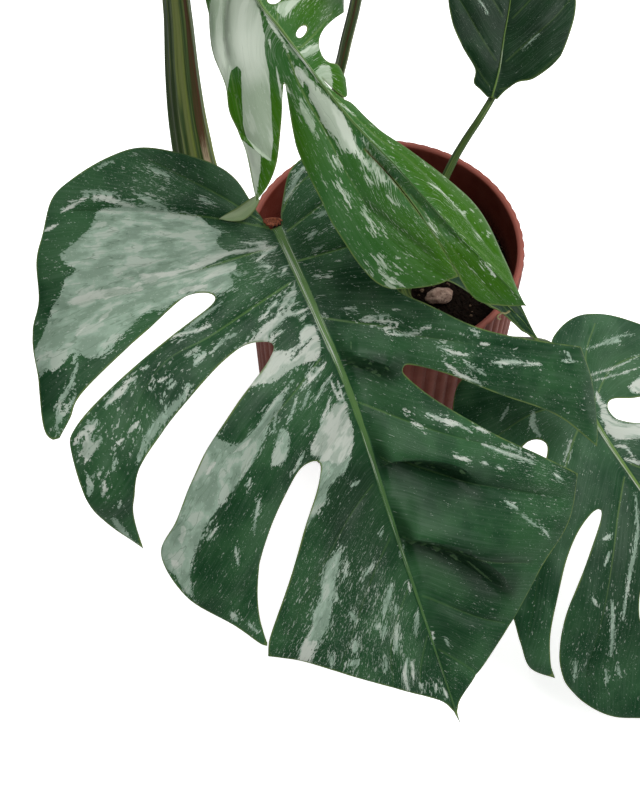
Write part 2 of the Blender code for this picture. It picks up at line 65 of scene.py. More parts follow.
# Pot, millimetres
POT_HEIGHT = 150.0
POT_RIM_RADIUS = 85.0
POT_BASE_RADIUS = 80.0
POT_RIM_WIDTH = 5.0
POT_LIP_SLOPE = 0.5
POT_SLOPE = (POT_RIM_RADIUS - POT_BASE_RADIUS) / POT_HEIGHT
POT_FLOOR = 4.0
POT_FLOOR_WALL = 4.5
FLUTES = 66
FLUTE_DEPTH = 1.5
DRAIN_RADIUS = 4.0
DRAIN_CIRCLE = 36.0
DRAIN_HOLES = 6

# Steps and thickness of the leaves, and steps along a petiole, millimetres
EDGE_STEP = 1.6
UNDER_STEP = 3.4
SHEET = 0.7
STALK_STEP = 2.2
# How close drawn lines may come to a leaf's edge and to each other
BORDER_CLEAR = 0.5
LINE_CLEAR = 0.45
# How far veins are drawn on past the edge, and how wide a vein's number counts outside the last
VEIN_REACH = 320.0
OUTER_SPACING = 30.0
# Farthest distances that are kept to a pale mark, and to a vein or an edge
TONE_REACH = 6.0
GAP_REACH = 20.0
FAR = 1e9
TINY = 1e-6

# Scale of the flat maps, width of the pattern between two veins, and the number that the first
# vein of a right half has in the vein map
UV_SCALE = 100.0
VEIN_SPACING = 32.0
RIGHT_NUMBERS = 20.0
# The shader's own amount of shine
PLAIN_SHINE = 0.5

# Studio: half width of the floor, the lamps' aim and distance from it and the camera's place in
# metres, the camera's tilt from straight down in degrees
FLOOR_REACH = 4.0
LAMP_AIM = (0.0, -0.05, 0.25)
LAMP_DISTANCE = 1.6
CAMERA_PLACE = (-0.0392, -0.5562, 0.8313)
CAMERA_TILT = 33.0
LAMPS = (
    # name, direction and height in degrees, share of the key light's power, size in metres
    ("key", 330.0, 55.0, 1.0, 1.3), ("side", 50.0, 45.0, 0.7, 1.3),
    ("back", 105.0, 38.0, 0.3, 1.1), ("left", 215.0, 55.0, 0.32, 1.5),
)

# Soil, stem and bark, millimetres
SOIL_TOP = 120.0
SOIL_EDGE_DROP = 1.0
SOIL_CLEAR = 0.5
SOIL_BUMP = 2.2
SOIL_WAVE = 22.0
SOIL_LUMP = 7.7
STEM_FOOT = (9.0, -17.0)
STEM_RADIUS = 8.0
STEM_BOTTOM = 70.0
STEM_PROFILE = (
    # height, change of radius
    (STEM_BOTTOM, 0.0), (118.0, 0.0), (121.0, -0.2), (124.0, -0.6), (127.0, -0.3), (129.4, 0.0),
    (130.6, 0.0), (133.0, -0.5), (136.0, -0.8), (139.0, -0.5), (141.4, 0.0), (142.6, 0.0),
    (144.0, -0.7), (147.0, -0.9), (149.6, -1.6), (150.7, -2.4), (151.0, -3.4),
)
BARK_PIECES = (
    # centre x, y, length, width, height, turn in degrees
    (34.0, -21.0, 17.0, 11.0, 8.0, 12.0),
    (47.0, 20.0, 13.0, 9.0, 6.0, 60.0),
    (-38.0, 34.0, 15.0, 10.0, 7.0, -35.0),
)
FRONT_LEFT = (
    ((0, -3), (-13, -6), (-30, -9), (-42, -17), (-55, -33), (-63, -48), (-64, -64), (-61, -85),
     (-56, -98), (-42, -109), (-31, -117), (-13, -124), (1, -134), (24, -140), (44, -147.4),
     (50, -147), (51, -143)),
    ((46, -134), (39, -124), (27, -90), (17, -64), (16, -54), (20, -46), (25, -49), (32, -75),
     (41, -108), (50, -134), (57, -141), (76, -145), (100, -140), (123, -128)),
    ((106, -127), (90, -124), (74, -117), (64, -98), (57, -78), (50, -55), (48, -40), (52, -28),
     (58, -34), (68, -60), (81, -82), (97, -95), (114, -108), (130, -121), (158, -116), (182, -99),
     (197, -90), (200.4, -86.6)),
    ((199.2, -86), (194, -86), (182, -85), (168, -81.5), (154, -75), (140, -65), (128, -54),
     (117, -42), (115.5, -33.5), (119, -28.5), (125, -31), (136, -38), (149, -48), (162, -57.5),
     (175, -67), (187, -76.5), (195, -82.6), (199.6, -85.5), (206, -88)),
    ((210, -81.5), (218, -70), (240, -45), (260, -22), (274, -6), (283, -1), (286, -0.4),
     (292, 0.5)),
)
FRONT_RIGHT = (
    ((0, 3), (-10, 8), (-25, 20), (-29, 36), (-23, 49), (-10, 61), (6, 67), (24, 71), (51, 69)),
    ((44, 56), (40, 49), (46, 45), (53, 44.5), (58, 46.5), (67, 54), (86, 72), (100, 92),
     (116, 119), (127, 139)),
    ((147, 140), (170, 135), (181, 130)),
    ((153, 109), (127, 78), (105, 53), (93, 36), (92, 31), (97, 31), (117, 44), (145, 68),
     (170, 93), (189, 112)),
    ((211, 97), (229, 70), (251, 43), (269, 17), (278, 5), (283, 1.6), (286, 0.8), (292, 0.5)),
)

UPPER_LEFT = (
    ((0, -3), (-3, -9), (0, -16), (9, -21), (20, -24), (40, -31), (56, -35), (67, -41), (84, -46),
     (102, -57)),
    ((100, -47), (95, -37), (84, -25), (75, -17), (71, -13), (77, -16), (91, -24), (99, -28),
     (119, -35), (131, -39), (145, -41.6), (158, -43.6), (169, -43.8), (176, -41.6), (181, -37.2),
     (187, -30), (192, -22), (196, -13)),
    ((176, -8.9), (155, -6.3), (136, -5.1), (122, -4.7), (118, -4.5), (122, -4.4), (138, -4.75),
     (155, -5.9), (172, -8.2), (190, -12), (206, -15.4), (215, -14), (225, -7), (232, 0)),
)
UPPER_RIGHT = (
    ((0, 3), (-9, 10), (-14, 30), (-2, 54), (20, 70), (44, 72), (60, 61), (69, 49)),
    ((67, 38), (66, 25), (68, 17), (73, 13), (78, 14), (83, 19), (90, 18)),
    ((95, 11), (94, 7.6), (86, 4.8), (80, 3.6), (86, 3.8), (94, 6.4), (100, 10), (112, 12),
     (125, 14), (138, 18), (158, 25), (180, 29), (200, 24), (213, 15), (223, 6), (232, 0)),
)

RIGHT_LEFT = (
    ((0, -3), (-10, -9), (-28, -24), (-43, -42), (-40, -62), (-26, -74), (-2, -85), (20, -96),
     (38, -104)),
    ((32, -84), (20, -62), (12, -46), (11, -38), (14, -33), (18, -35), (25, -46), (37, -66),
     (50, -88), (62, -102), (75, -108), (87, -113), (104, -117), (121, -108)),
    ((108, -105), (90, -94), (71, -72), (58, -49), (54, -33), (58, -30), (71, -53), (87, -81),
     (106, -98), (125, -104), (141, -103), (154, -99), (167, -90), (176, -76), (190, -50),
     (201, -24), (208, -8), (214, 0)),
)
RIGHT_RIGHT = (
    ((0, 3), (-12, 6), (-30, 1), (-40, -2), (-47, 7), (-50, 18), (-48, 30), (-41, 45), (-28, 61),
     (-8, 78), (14, 88)),
    ((12, 66), (11, 45), (9, 28), (5, 16), (8, 11), (15, 11), (21, 14), (29, 23), (40, 44),
     (54, 68), (64, 88), (76, 97), (92, 100), (106, 97)),
    ((96, 82), (84, 62), (74, 42), (72, 32), (77, 30), (86, 40), (100, 60), (114, 78), (128, 90)),
    ((146, 84), (164, 66), (184, 42), (198, 20), (206, 8), (214, 0)),
)

HEART_LEFT = (
    ((0, -3), (7, -7), (12, -12), (16, -22), (27, -34), (45, -38), (62, -38), (82, -32), (102, -18),
     (115, -7), (126, 0)),
)
HEART_RIGHT = (
    ((0, 3), (3, 8), (6, 13), (14, 14), (25, 22), (40, 32), (56, 37), (76, 34), (98, 20), (114, 7),
     (126, 0)),
)

SMALL_LEFT = (
    ((0, -3), (5, -11), (18, -16), (32, -12), (49, -8), (64, -6), (76, -3), (85, 0)),
)
SMALL_RIGHT = (
    ((0, 3), (4, 12), (18, 16), (40, 12), (61, 6), (74, 2), (85, 0)),
)


BACK_SCALE = 0.66


def for_back(runs):
    """The front leaf's margins or veins at the back leaf's size, mirrored across the midrib."""
    return tuple(tuple((s * BACK_SCALE, -t * BACK_SCALE) for s, t in run) for run in runs)


# Lateral veins of each half, from the petiole to the tip, as flat points from the midrib outwards.
FRONT_VEINS_LEFT = (
    ((-3, -4), (-21, -17), (-38, -31), (-56, -46)), ((-1, -4), (-10, -18), (-28, -50), (-47, -92)),
    ((9, -5), (5, -49), (-2, -106), (-5, -124)), ((29, -6), (38, -54), (42, -85), (65, -126)),
    ((69, -8), (85, -49), (98, -64), (138, -105)), ((104, -5), (122, -32), (168, -92)),
    ((144, -4), (158, -28), (199, -76)), ((176, -4), (194, -24), (228, -54)),
    ((206, -3), (228, -22), (252, -30)), ((236, -2), (252, -12), (266, -16)),
)
FRONT_VEINS_RIGHT = (
    ((-4, 4), (-15, 17), (-22, 40)), ((4, 4), (-2, 26), (-8, 54)), ((20, 3), (23, 29), (27, 62)),
    ((51, 2), (71, 32), (82, 45), (118, 110)), ((97, 0), (127, 34), (172, 92)),
    ((130, 4), (150, 27), (168, 51), (190, 86)), ((178, 3), (205, 38), (222, 66)),
    ((214, 3), (236, 26), (248, 42)), ((246, 2), (262, 14), (270, 18)),
)
UPPER_VEINS_LEFT = (
    ((8, -3), (28, -16), (60, -33), (94, -50)), ((62, -4), (79, -9), (98, -12), (127, -20),
                                                 (160, -24), (194, -18)),
    ((150, -3.5), (190, -7), (220, -8)),
)
UPPER_VEINS_RIGHT = (
    ((4, 3), (-4, 26), (-2, 46)), ((22, 2), (18, 28), (20, 60)), ((49, 0), (38, 19), (36, 60)),
    ((62, 1), (64, 8), (64, 40)), ((86, 1), (120, 7), (160, 14), (204, 12)),
    ((165, 1), (192, 4), (216, 5)),
)
RIGHT_VEINS_LEFT = (
    ((-3, -4), (-20, -24), (-36, -52)), ((2, -4), (-4, -34), (6, -84)),
    ((10, -4), (26, -29), (56, -72), (86, -108)), ((50, -4), (84, -46), (124, -86), (150, -98)),
    ((98, -4), (142, -40), (178, -66)), ((150, -3), (184, -22), (202, -26)),
)
RIGHT_VEINS_RIGHT = (
    ((-3, 4), (-26, 14), (-42, 28)), ((3, 4), (-14, 30), (-10, 76)),
    ((12, 4), (26, 16), (46, 42), (80, 94)), ((46, 4), (74, 24), (104, 56), (130, 86)),
    ((100, 4), (142, 36), (168, 58)), ((154, 3), (184, 20), (198, 22)),
)
HEART_VEINS_LEFT = (
    ((6, -3), (14, -18), (28, -34)), ((22, -3), (44, -22), (64, -37)),
    ((48, -3), (74, -20), (96, -22)), ((78, -3), (98, -12), (114, -8)),
)
HEART_VEINS_RIGHT = (
    ((6, 3), (12, 10), (26, 22)), ((22, 3), (42, 20), (60, 36)), ((48, 3), (72, 20), (92, 24)),
    ((78, 3), (98, 12), (112, 8)),
)
SMALL_VEINS_LEFT = (((4, -2), (12, -10), (22, -14)), ((24, -2), (38, -8), (50, -8)),
                    ((50, -2), (62, -4), (72, -4)))
SMALL_VEINS_RIGHT = (((4, 2), (10, 10), (20, 15)), ((24, 2), (36, 8), (48, 8)),
                     ((50, 2), (60, 4), (70, 3)))

SAGE = "sage"
CREAM = "cream"
GREEN = "green"

# Pale and green marks of the leaves: tone, width of a stroke (0 for a filled patch), flat points.
FRONT_PATCHES = (
    (SAGE, 0, ((-41, -80), (-41, -76), (-37, -64), (-30, -52), (-24, -43), (-19, -34), (-13, -32),
               (-7, -27), (-5, -32), (-1, -32), (3, -29), (8, -26), (13, -29), (15, -35), (21, -33),
               (22, -42), (18, -48), (16, -56), (16, -64), (18, -72), (16, -77), (17, -83),
               (21, -91), (24, -98), (27, -104), (28, -109), (27, -115), (24, -117), (22, -121),
               (25, -126), (26, -132), (23, -135), (24, -140), (16, -138), (10, -136), (6, -130),
               (0, -125), (-6, -120), (-9, -115), (-12, -111), (-16, -107), (-18, -100),
               (-24, -104), (-28, -105), (-31, -96), (-33, -90), (-34, -86), (-36, -85),
               (-38, -82))),
    (GREEN, 0, ((4, -47), (2, -41), (5, -26), (8, -21), (9, -27), (7, -38), (6, -44))),
    (CREAM, 2.0, ((-48, -78), (-41, -68), (-36, -62))),
    (CREAM, 2.5, ((-34, -85), (-34, -78))),
    (CREAM, 1.9, ((9, -4), (7, -15), (4, -28), (4, -40), (2.5, -53), (0, -66), (-0.5, -80),
                  (-4, -95))),
    (CREAM, 0, ((1, -56), (0, -64), (-1, -68), (-4, -73), (0, -72), (0, -76), (-2, -85), (-4, -92),
                (-6, -98), (-6, -112), (-4, -112), (-3, -105), (-2, -98), (0, -91), (2, -84),
                (3, -78), (2, -70), (2, -62))),
    (SAGE, 1.4, ((13, -75), (11, -67), (11, -59))),
    (CREAM, 2.4, ((13, -60), (14, -52), (15, -46))),
    (CREAM, 1.2, ((8, -93), (12, -101))),
    (CREAM, 1.2, ((11, -108), (14, -114))),
    (CREAM, 2.5, ((10, -34), (12, -46))),
    (CREAM, 1.5, ((-48, -96), (-49, -88), (-49, -81))),
    (SAGE, 1.5, ((-53, -83), (-50, -76), (-45, -68))),
    (CREAM, 2.0, ((-43, -107), (-43, -100))),
    (SAGE, 2.0, ((-39, -58), (-34, -53), (-29, -48))),
    (SAGE, 1.9, ((26, -119), (34, -127), (38, -134), (42, -138), (49, -143))),
    (SAGE, 1.0, ((39, -127), (43, -134), (46, -139))),
    (SAGE, 1.5, ((-43, -40), (-51, -47))),
    (SAGE, 1.2, ((-27, -31), (-22, -26))),
    (SAGE, 1.2, ((-61, -70), (-61, -64))),
    (CREAM, 1.4, ((32, -75), (33, -67), (34, -60), (34, -54))),
    (SAGE, 1.5, ((31, -66), (29, -57), (27, -48), (26, -44))),
    (CREAM, 2.9, ((47, -116), (45, -109), (44, -103))),
    (CREAM, 1.2, ((42, -103), (42, -97))),
    (CREAM, 1.0, ((40, -94), (40, -90))),
    (CREAM, 1.4, ((42, -72), (42, -65))),
    (SAGE, 1.9, ((47, -70), (44, -62))),
    (SAGE, 1.2, ((45, -60), (42, -50), (42, -44))),
    (CREAM, 1.2, ((47, -89), (47, -84))),
    (CREAM, 1.4, ((51, -86), (50, -82))),
    (CREAM, 1.9, ((48, -94), (48, -93))),
    (CREAM, 1.4, ((54, -92), (53, -90))),
    (SAGE, 2.9, ((53, -76), (56, -81), (58, -89), (60, -97), (63, -104), (66, -110), (70, -115))),
    (CREAM, 1.2, ((59, -113), (57, -106))),
    (CREAM, 1.4, ((61, -121), (60, -116))),
    (CREAM, 2.4, ((59, -138), (57, -133), (53, -128), (51, -123))),
    (CREAM, 2.4, ((62, -138), (59, -132), (57, -125))),
    (SAGE, 1.4, ((68, -127), (65, -123))),
    (CREAM, 1.4, ((68, -135), (67, -132))),
    (CREAM, 1.9, ((71, -133), (78, -137))),
    (SAGE, 2.8, ((66, -139), (70, -140), (75, -143))),
    (SAGE, 3.4, ((97, -136), (105, -135), (117, -133), (121, -129))),
    (SAGE, 1.2, ((84, -130), (90, -132))),
    (CREAM, 1.4, ((45, -124), (43, -118))),
    (CREAM, 1.4, ((55, -138), (53, -133), (51, -128))),
    (CREAM, 2.0, ((48, -42), (48, -36))),
    (CREAM, 1.5, ((37, -22), (35, -17))),
    (CREAM, 1.5, ((36, -14), (33, -7))),
    (CREAM, 1.2, ((13, -18), (10, -10), (10, -5))),
    (CREAM, 1.5, ((16, -18), (18, -12))),
    (SAGE, 2.5, ((21, -21), (20, -14))),
    (CREAM, 1.5, ((23, -8), (21, -4))),
    (CREAM, 1.5, ((36, -8), (34, -5))),
    (SAGE, 1.5, ((14, -32), (18, -30))),
    (CREAM, 1.5, ((40, -28), (38, -24))),
    (CREAM, 1.5, ((48, -10), (47, -6))),
    (SAGE, 0, ((71, -27), (74, -34), (79, -41), (85, -48), (92, -54), (102, -64), (107, -72),
               (111, -77), (114, -84), (120, -92), (124, -97), (131, -102), (139, -108),
               (146, -111), (155, -113), (161, -113), (154, -116), (143, -118), (135, -123),
               (125, -122), (111, -112), (95, -99), (83, -88), (74, -75), (79, -75), (81, -72),
               (83, -65), (80, -58), (76, -49), (75, -45), (71, -45), (70, -40), (69, -33))),
    (CREAM, 1.2, ((66, -51), (68, -58), (70, -65), (74, -73))),
    (CREAM, 2.0, ((87, -59), (88, -65), (89, -71))),
    (CREAM, 1.5, ((89, -80), (95, -86))),
    (CREAM, 2.0, ((119, -106), (128, -110))),
    (CREAM, 2.5, ((134, -117), (138, -115))),
    (SAGE, 0, ((89, -42), (96, -41), (103, -44), (107, -48), (107, -55), (102, -53), (95, -48),
               (90, -44))),
    (SAGE, 1.2, ((78, -37), (82, -43), (90, -48))),
    (SAGE, 1.2, ((79, -29), (85, -35), (88, -39))),
    (SAGE, 1.5, ((108, -67), (112, -70))),
    (SAGE, 1.5, ((120, -66), (127, -70), (135, -74))),
    (CREAM, 1.5, ((126, -90), (131, -97))),
    (SAGE, 1.0, ((139, -85), (149, -87))),
    (SAGE, 2.0, ((108, -36), (116, -45))),
    (SAGE, 3.0, ((174, -98), (180, -97))),
    (SAGE, 1.3, ((183, -92), (191, -89))),
    (SAGE, 1.0, ((114, -81), (116, -85))),
    (CREAM, 2.0, ((72, -6), (75, -17), (77, -24))),
    (CREAM, 1.5, ((79, -6), (82, -14), (86, -22))),
    (SAGE, 1.5, ((80, -22), (86, -30))),
    (SAGE, 1.0, ((96, -30), (99, -34))),
    (CREAM, 1.5, ((71, -13), (73, -20))),
    (CREAM, 0, ((95, -6), (101, -5), (109, -6), (116, -8), (120, -13), (124, -20), (121, -23),
                (115, -28), (112, -32), (107, -32), (100, -24), (96, -14))),
    (SAGE, 0, ((123, -20), (128, -22), (131, -29), (134, -32), (138, -32), (143, -40), (150, -51),
               (143, -48), (132, -39), (121, -31), (114, -28))),
    (SAGE, 0, ((167, -33), (175, -38), (186, -45), (196, -50), (203, -54), (208, -61), (213, -66),
               (205, -68), (199, -61), (193, -59), (188, -53), (179, -48), (171, -42))),
    (CREAM, 0, ((204, -67), (208, -62), (213, -66), (220, -69), (216, -74), (208, -71))),
    (SAGE, 2.6, ((199, -12), (204, -16), (211, -23))),
    (CREAM, 2.1, ((241, -18), (247, -22), (258, -23))),
    (CREAM, 1.6, ((244, -16), (254, -18))),
    (SAGE, 2.1, ((218, -42), (223, -45))),
    (SAGE, 1.0, ((175, -33), (182, -37))),
    (CREAM, 1.6, ((188, -44), (192, -45))),
    (SAGE, 2.7, ((220, -2), (231, -8))),
    (CREAM, 3.2, ((217, -29), (215, -27))),
    (CREAM, 1.8, ((172, -10), (170, -7))),
    (CREAM, 2.1, ((258, -15), (262, -14))),
    (CREAM, 1.6, ((267, -3), (274, -2))),
    (CREAM, 1.6, ((263, -6), (267, -8))),
    (SAGE, 2.1, ((138, -17), (138, -11))),
    (SAGE, 2.6, ((229, -49), (228, -45))),
    (SAGE, 1.6, ((187, -26), (184, -19))),
    (SAGE, 1.6, ((222, -17), (234, -22))),
    (CREAM, 1.6, ((203, -2), (209, -3))),
    (CREAM, 1.6, ((235, 2), (242, 0))),
    (SAGE, 1.6, ((219, -57), (226, -59))),
    (SAGE, 1.6, ((236, -30), (241, -31))),
    (SAGE, 1.6, ((218, -24), (222, -27))),
    (SAGE, 1.6, ((183, 2), (188, -2))),
    (SAGE, 1.6, ((211, -14), (216, -15))),
    (SAGE, 1.6, ((202, -40), (208, -38))),
    (SAGE, 2.0, ((3, 22), (2, 28))),
    (SAGE, 1.5, ((-11, 10), (-14, 14), (-17, 19))),
    (SAGE, 2.0, ((-15, 15), (-21, 22), (-24, 28))),
    (CREAM, 1.3, ((1, 2), (6, 2))),
    (SAGE, 1.3, ((11, 12), (10, 18))),
    (SAGE, 1.0, ((18, 17), (18, 12))),
    (SAGE, 1.0, ((11, 25), (10, 30))),
    (CREAM, 1.1, ((51, 13), (54, 20))),
    (SAGE, 0.9, ((60, 23), (65, 34))),
    (CREAM, 1.0, ((64, 26), (71, 38))),
    (CREAM, 1.1, ((79, 48), (81, 53))),
    (CREAM, 1.5, ((78, 40), (81, 46))),
    (CREAM, 1.3, ((90, 52), (96, 59), (101, 67))),
    (CREAM, 1.6, ((99, 53), (108, 59), (117, 69))),
    (CREAM, 1.0, ((104, 64), (114, 73))),
    (CREAM, 2.6, ((110, 80), (114, 90), (118, 98))),
    (CREAM, 1.6, ((118, 98), (123, 107))),
    (SAGE, 1.1, ((127, 121), (132, 131))),
    (CREAM, 1.0, ((99, 77), (101, 82))),
    (CREAM, 1.0, ((91, 74), (94, 79))),
    (CREAM, 1.8, ((118, 34), (124, 40), (130, 46))),
    (CREAM, 1.5, ((125, 43), (131, 49), (138, 55))),
    (CREAM, 1.5, ((111, 23), (114, 26))),
    (CREAM, 1.3, ((119, 25), (124, 30))),
    (CREAM, 1.3, ((135, 56), (144, 66))),
    (CREAM, 1.6, ((147, 59), (158, 71), (170, 86))),
    (CREAM, 1.8, ((141, 38), (149, 47))),
    (CREAM, 1.6, ((154, 54), (158, 58))),
    (CREAM, 1.6, ((162, 63), (165, 66))),
    (CREAM, 1.3, ((154, 72), (161, 80))),
    (SAGE, 1.9, ((182, 62), (190, 68))),
    (SAGE, 1.6, ((194, 69), (204, 76))),
    (SAGE, 1.4, ((205, 78), (213, 81))),
    (CREAM, 1.4, ((182, 96), (186, 99))),
    (SAGE, 1.4, ((124, 126), (128, 128))),
    (CREAM, 1.3, ((33, 12), (34, 15))),
    (CREAM, 1.3, ((30, 7), (32, 10))),
    (CREAM, 1.3, ((95, 0), (97, 2))),
    (CREAM, 1.3, ((50, 2), (52, 5))),
    (SAGE, 1.1, ((184, 14), (186, 16))),
    (SAGE, 1.6, ((242, 7), (247, 8))),
    (SAGE, 0, ((116, -28), (122, -15), (123, -11), (129, -18), (129, -24), (134, -31), (140, -34),
               (144, -43), (148, -49), (138, -43), (127, -35))),
    (CREAM, 0, ((106, -30), (98, -22), (93, -10), (96, -5), (109, -5), (117, -7), (123, -12),
                (123, -18), (118, -28), (115, -28), (112, -33))),
    (GREEN, 0, ((63, -56), (65, -50), (67, -40), (68, -31), (69, -24), (71, -30), (73, -36),
                (74, -42), (77, -48), (83, -58), (86, -68), (80, -74), (70, -68))),
    (CREAM, 0, ((53, -3), (60, -4), (65, -6), (69, -10), (67, -16), (66, -23), (66, -30), (67, -38),
                (65, -45), (63, -54), (61, -46), (58, -39), (56, -32), (55, -29), (58, -24),
                (58, -17), (57, -15), (53, -13), (51, -8))),
    (CREAM, 0, ((48, -48), (47, -41), (48, -38), (45, -34), (43, -28), (42, -22), (42, -17),
                (44, -16), (46, -22), (47, -26), (49, -29), (53, -29), (53, -32), (49, -37),
                (49, -44))),
    (CREAM, 1.6, ((43, -17), (44, -10), (44, -3))),
    (GREEN, 1.2, ((62, -24), (60, -16), (58, -8))),
    (GREEN, 0, ((21, -36), (25, -35), (28, -30), (26, -24), (23, -16), (20, -13), (17, -16),
                (16, -22), (18, -26), (18, -33))),
    (CREAM, 1.5, ((80, -8), (86, -8), (94, -7))),
    (CREAM, 1.4, ((84, -4), (93, -5), (100, -4))),
    (CREAM, 1.8, ((97, -22), (93, -16), (89, -12))),
    (CREAM, 1.4, ((56, -36), (50, -27), (49, -21))),
    (CREAM, 1.4, ((44, -18), (40, -12), (38, -8))),
    (CREAM, 1.7, ((43, -22), (38, -15), (36, -9))),
    (CREAM, 1.2, ((60, 19), (64, 25))),
    (CREAM, 0.9, ((73, 29), (81, 43))),
    (CREAM, 0.8, ((69, 26), (73, 36))),
    (CREAM, 1.0, ((1, -21), (4, -15), (5, -8))),
)
UPPER_PATCHES = (
    (SAGE, 0, ((12, -4), (15, -14), (27, -27), (39, -30), (53, -34), (72, -38), (80, -42),
               (87, -42), (94, -40), (88, -33), (77, -25), (64, -16), (56, -12), (42, -3), (34, 0),
               (20, 1))),
    (CREAM, 0, ((25, -10), (34, -1), (42, -4), (51, -9), (59, -14), (64, -20), (62, -26), (54, -27),
                (47, -25))),
    (CREAM, 0, ((39, -31), (37, -26), (39, -22), (39, -20), (49, -28), (57, -33), (61, -39),
                (53, -38), (43, -35))),
    (GREEN, 0, ((52, -29), (52, -25), (55, -25), (66, -33), (77, -41), (74, -43), (69, -42),
                (62, -40), (58, -35))),
    (CREAM, 0, ((75, -46), (81, -43.6), (90, -42), (94, -46), (101, -56), (93, -54), (81, -50))),
    (GREEN, 0, ((52, -9), (59, -12), (68, -18), (78, -24), (88, -32), (94, -39), (94, -45),
                (102, -57), (100, -45), (95, -36), (90, -30), (79, -22), (71, -18), (63, -14))),
    (SAGE, 0, ((49, -7), (56, -9), (65, -13), (76, -19), (84, -22.5), (79, -19), (71, -14.5),
               (64, -11.5), (57, -9.3), (52, -6))),
    (SAGE, 0, ((43, 6), (41, 13), (47, 22), (48, 14), (49, 8), (49, 6))),
    (SAGE, 0, ((64, -2), (65, 4), (66, 9), (69, 16), (71, 15), (70, 9), (68, 1), (66, -2))),
    (SAGE, 0, ((76, 0), (76, 7), (79, 12), (84, 8), (88, 4), (83, 1), (79, -1))),
    (CREAM, 0, ((67, -5), (71, -3), (76, -3), (84, -2), (97, -1), (106, -3), (113, -6), (127, -8),
                (137, -8), (134, -10), (122, -9), (116, -9), (110, -12), (102, -11), (97, -11),
                (89, -9), (82, -8), (74, -7), (69, -6))),
    (GREEN, 1.4, ((76, -6), (81, -7))),
    (GREEN, 1.0, ((101, -11), (106, -11))),
    (SAGE, 0, ((78, -11), (86, -12), (92, -13), (97, -16), (95, -17), (90, -16), (85, -15))),
    (CREAM, 0, ((41, -1), (45, 0), (50, -1), (57, -2), (63, -3), (61, -4), (54, -3), (48, -3))),
    (CREAM, 0.7, ((109, -17), (114, -19))),
    (CREAM, 0.6, ((119, -25), (125, -26), (133, -28))),
    (CREAM, 0.5, ((138, -25), (145, -26), (152, -28))),
    (CREAM, 1.0, ((126, -13), (132, -13))),
    (CREAM, 0.6, ((141, -12), (148, -12))),
    (CREAM, 0.7, ((160, -34), (168, -35))),
    (CREAM, 0.9, ((173, -39), (178, -37))),
    (CREAM, 0.8, ((112, -2), (127, -5), (143, -6))),
    (CREAM, 0.9, ((112, -8), (126, -10))),
    (CREAM, 0.7, ((121, -6), (136, -8))),
    (CREAM, 1.1, ((154, 9), (161, 12), (169, 14))),
    (CREAM, 1.0, ((170, 12), (180, 14))),
    (CREAM, 0.9, ((188, 10), (194, 11))),
    (CREAM, 0.9, ((166, -6.5), (172, -7))),
    (SAGE, 1.4, ((117, 0), (125, 0), (134, 0))),
    (SAGE, 1.2, ((104, 0), (118, 1))),
    (SAGE, 1.3, ((93, 1), (104, 5))),
    (CREAM, 1.1, ((71, -13), (77, -14))),
    (CREAM, 1.0, ((199, 0), (209, -1))),
)
RIGHT_PATCHES = (
    (CREAM, 1.2, ((-13, 10), (-12, 25), (-14, 44))),
    (CREAM, 0, ((2, 27), (-1, 34), (-1, 51), (12, 44), (6, 28))),
    (CREAM, 2.9, ((-2, 9), (5, 7), (8, 11))),
    (CREAM, 0, ((16, 5), (21, 9), (28, 23), (37, 33), (44, 28), (29, 4), (22, 3))),
    (CREAM, 1.7, ((32, 2), (36, 7), (43, 8))),
    (CREAM, 2.3, ((42, 3), (49, 9), (56, 16))),
    (SAGE, 3.5, ((-5, -31), (3, -35), (11, -34))),
    (CREAM, 1.1, ((18, -19), (25, -30))),
    (CREAM, 1.2, ((-9, 11), (-7, 28), (-7, 40))),
    (CREAM, 0, ((5, 8), (13, 4), (24, 4), (32, 11), (36, 18), (27, 17), (17, 10))),
    (SAGE, 2.3, ((62, -5), (77, -18), (91, -37), (103, -50), (111, -57))),
    (SAGE, 2.3, ((69, -33), (68, -39))),
    (SAGE, 1.7, ((75, -40), (79, -47))),
    (SAGE, 2.3, ((97, -56), (119, -69), (128, -74))),
    (SAGE, 1.7, ((94, -65), (88, -64))),
    (SAGE, 1.7, ((137, -73), (144, -75))),
    (SAGE, 1.5, ((-29, 16), (-28, 24), (-29, 36), (-28, 48))),
    (SAGE, 1.7, ((-8, -50), (-13, -43))),
    (SAGE, 1.5, ((-27, 28), (-26, 37))),
    (SAGE, 1.7, ((116, -92), (130, -99))),
    (SAGE, 1.7, ((137, -81), (144, -83))),
    (CREAM, 1.2, ((19, 4), (25, 2))),
)
HEART_PATCHES = (
    (SAGE, 0.8, ((48, 12), (54, 18), (58, 22))),
    (SAGE, 0.8, ((30, -12), (40, -20))),
)
SMALL_PATCHES = ((CREAM, 0.8, ((30, 4), (36, 6))),)
BACK_PATCHES = (
    (SAGE, 0, ((22, 8), (30, 20), (28, 38), (36, 56), (30, 70), (22, 60), (18, 40), (16, 22))),
    (CREAM, 0, ((60, -10), (68, -22), (78, -40), (84, -60), (76, -54), (66, -38), (58, -22))),
    (SAGE, 0, ((96, 6), (108, 16), (122, 30), (134, 44), (124, 44), (108, 30), (98, 18))),
    (CREAM, 1.8, ((40, 12), (46, 28), (54, 44))),
    (SAGE, 2.4, ((-14, -12), (-20, -30), (-12, -44))),
    (CREAM, 1.4, ((120, -12), (132, -26), (140, -36))),
    (CREAM, 1.2, ((84, 24), (92, 38), (102, 56))),
    (SAGE, 2.0, ((140, 4), (152, 14), (160, 20))),
    (CREAM, 1.2, ((8, 30), (4, 50), (0, 66))),
)

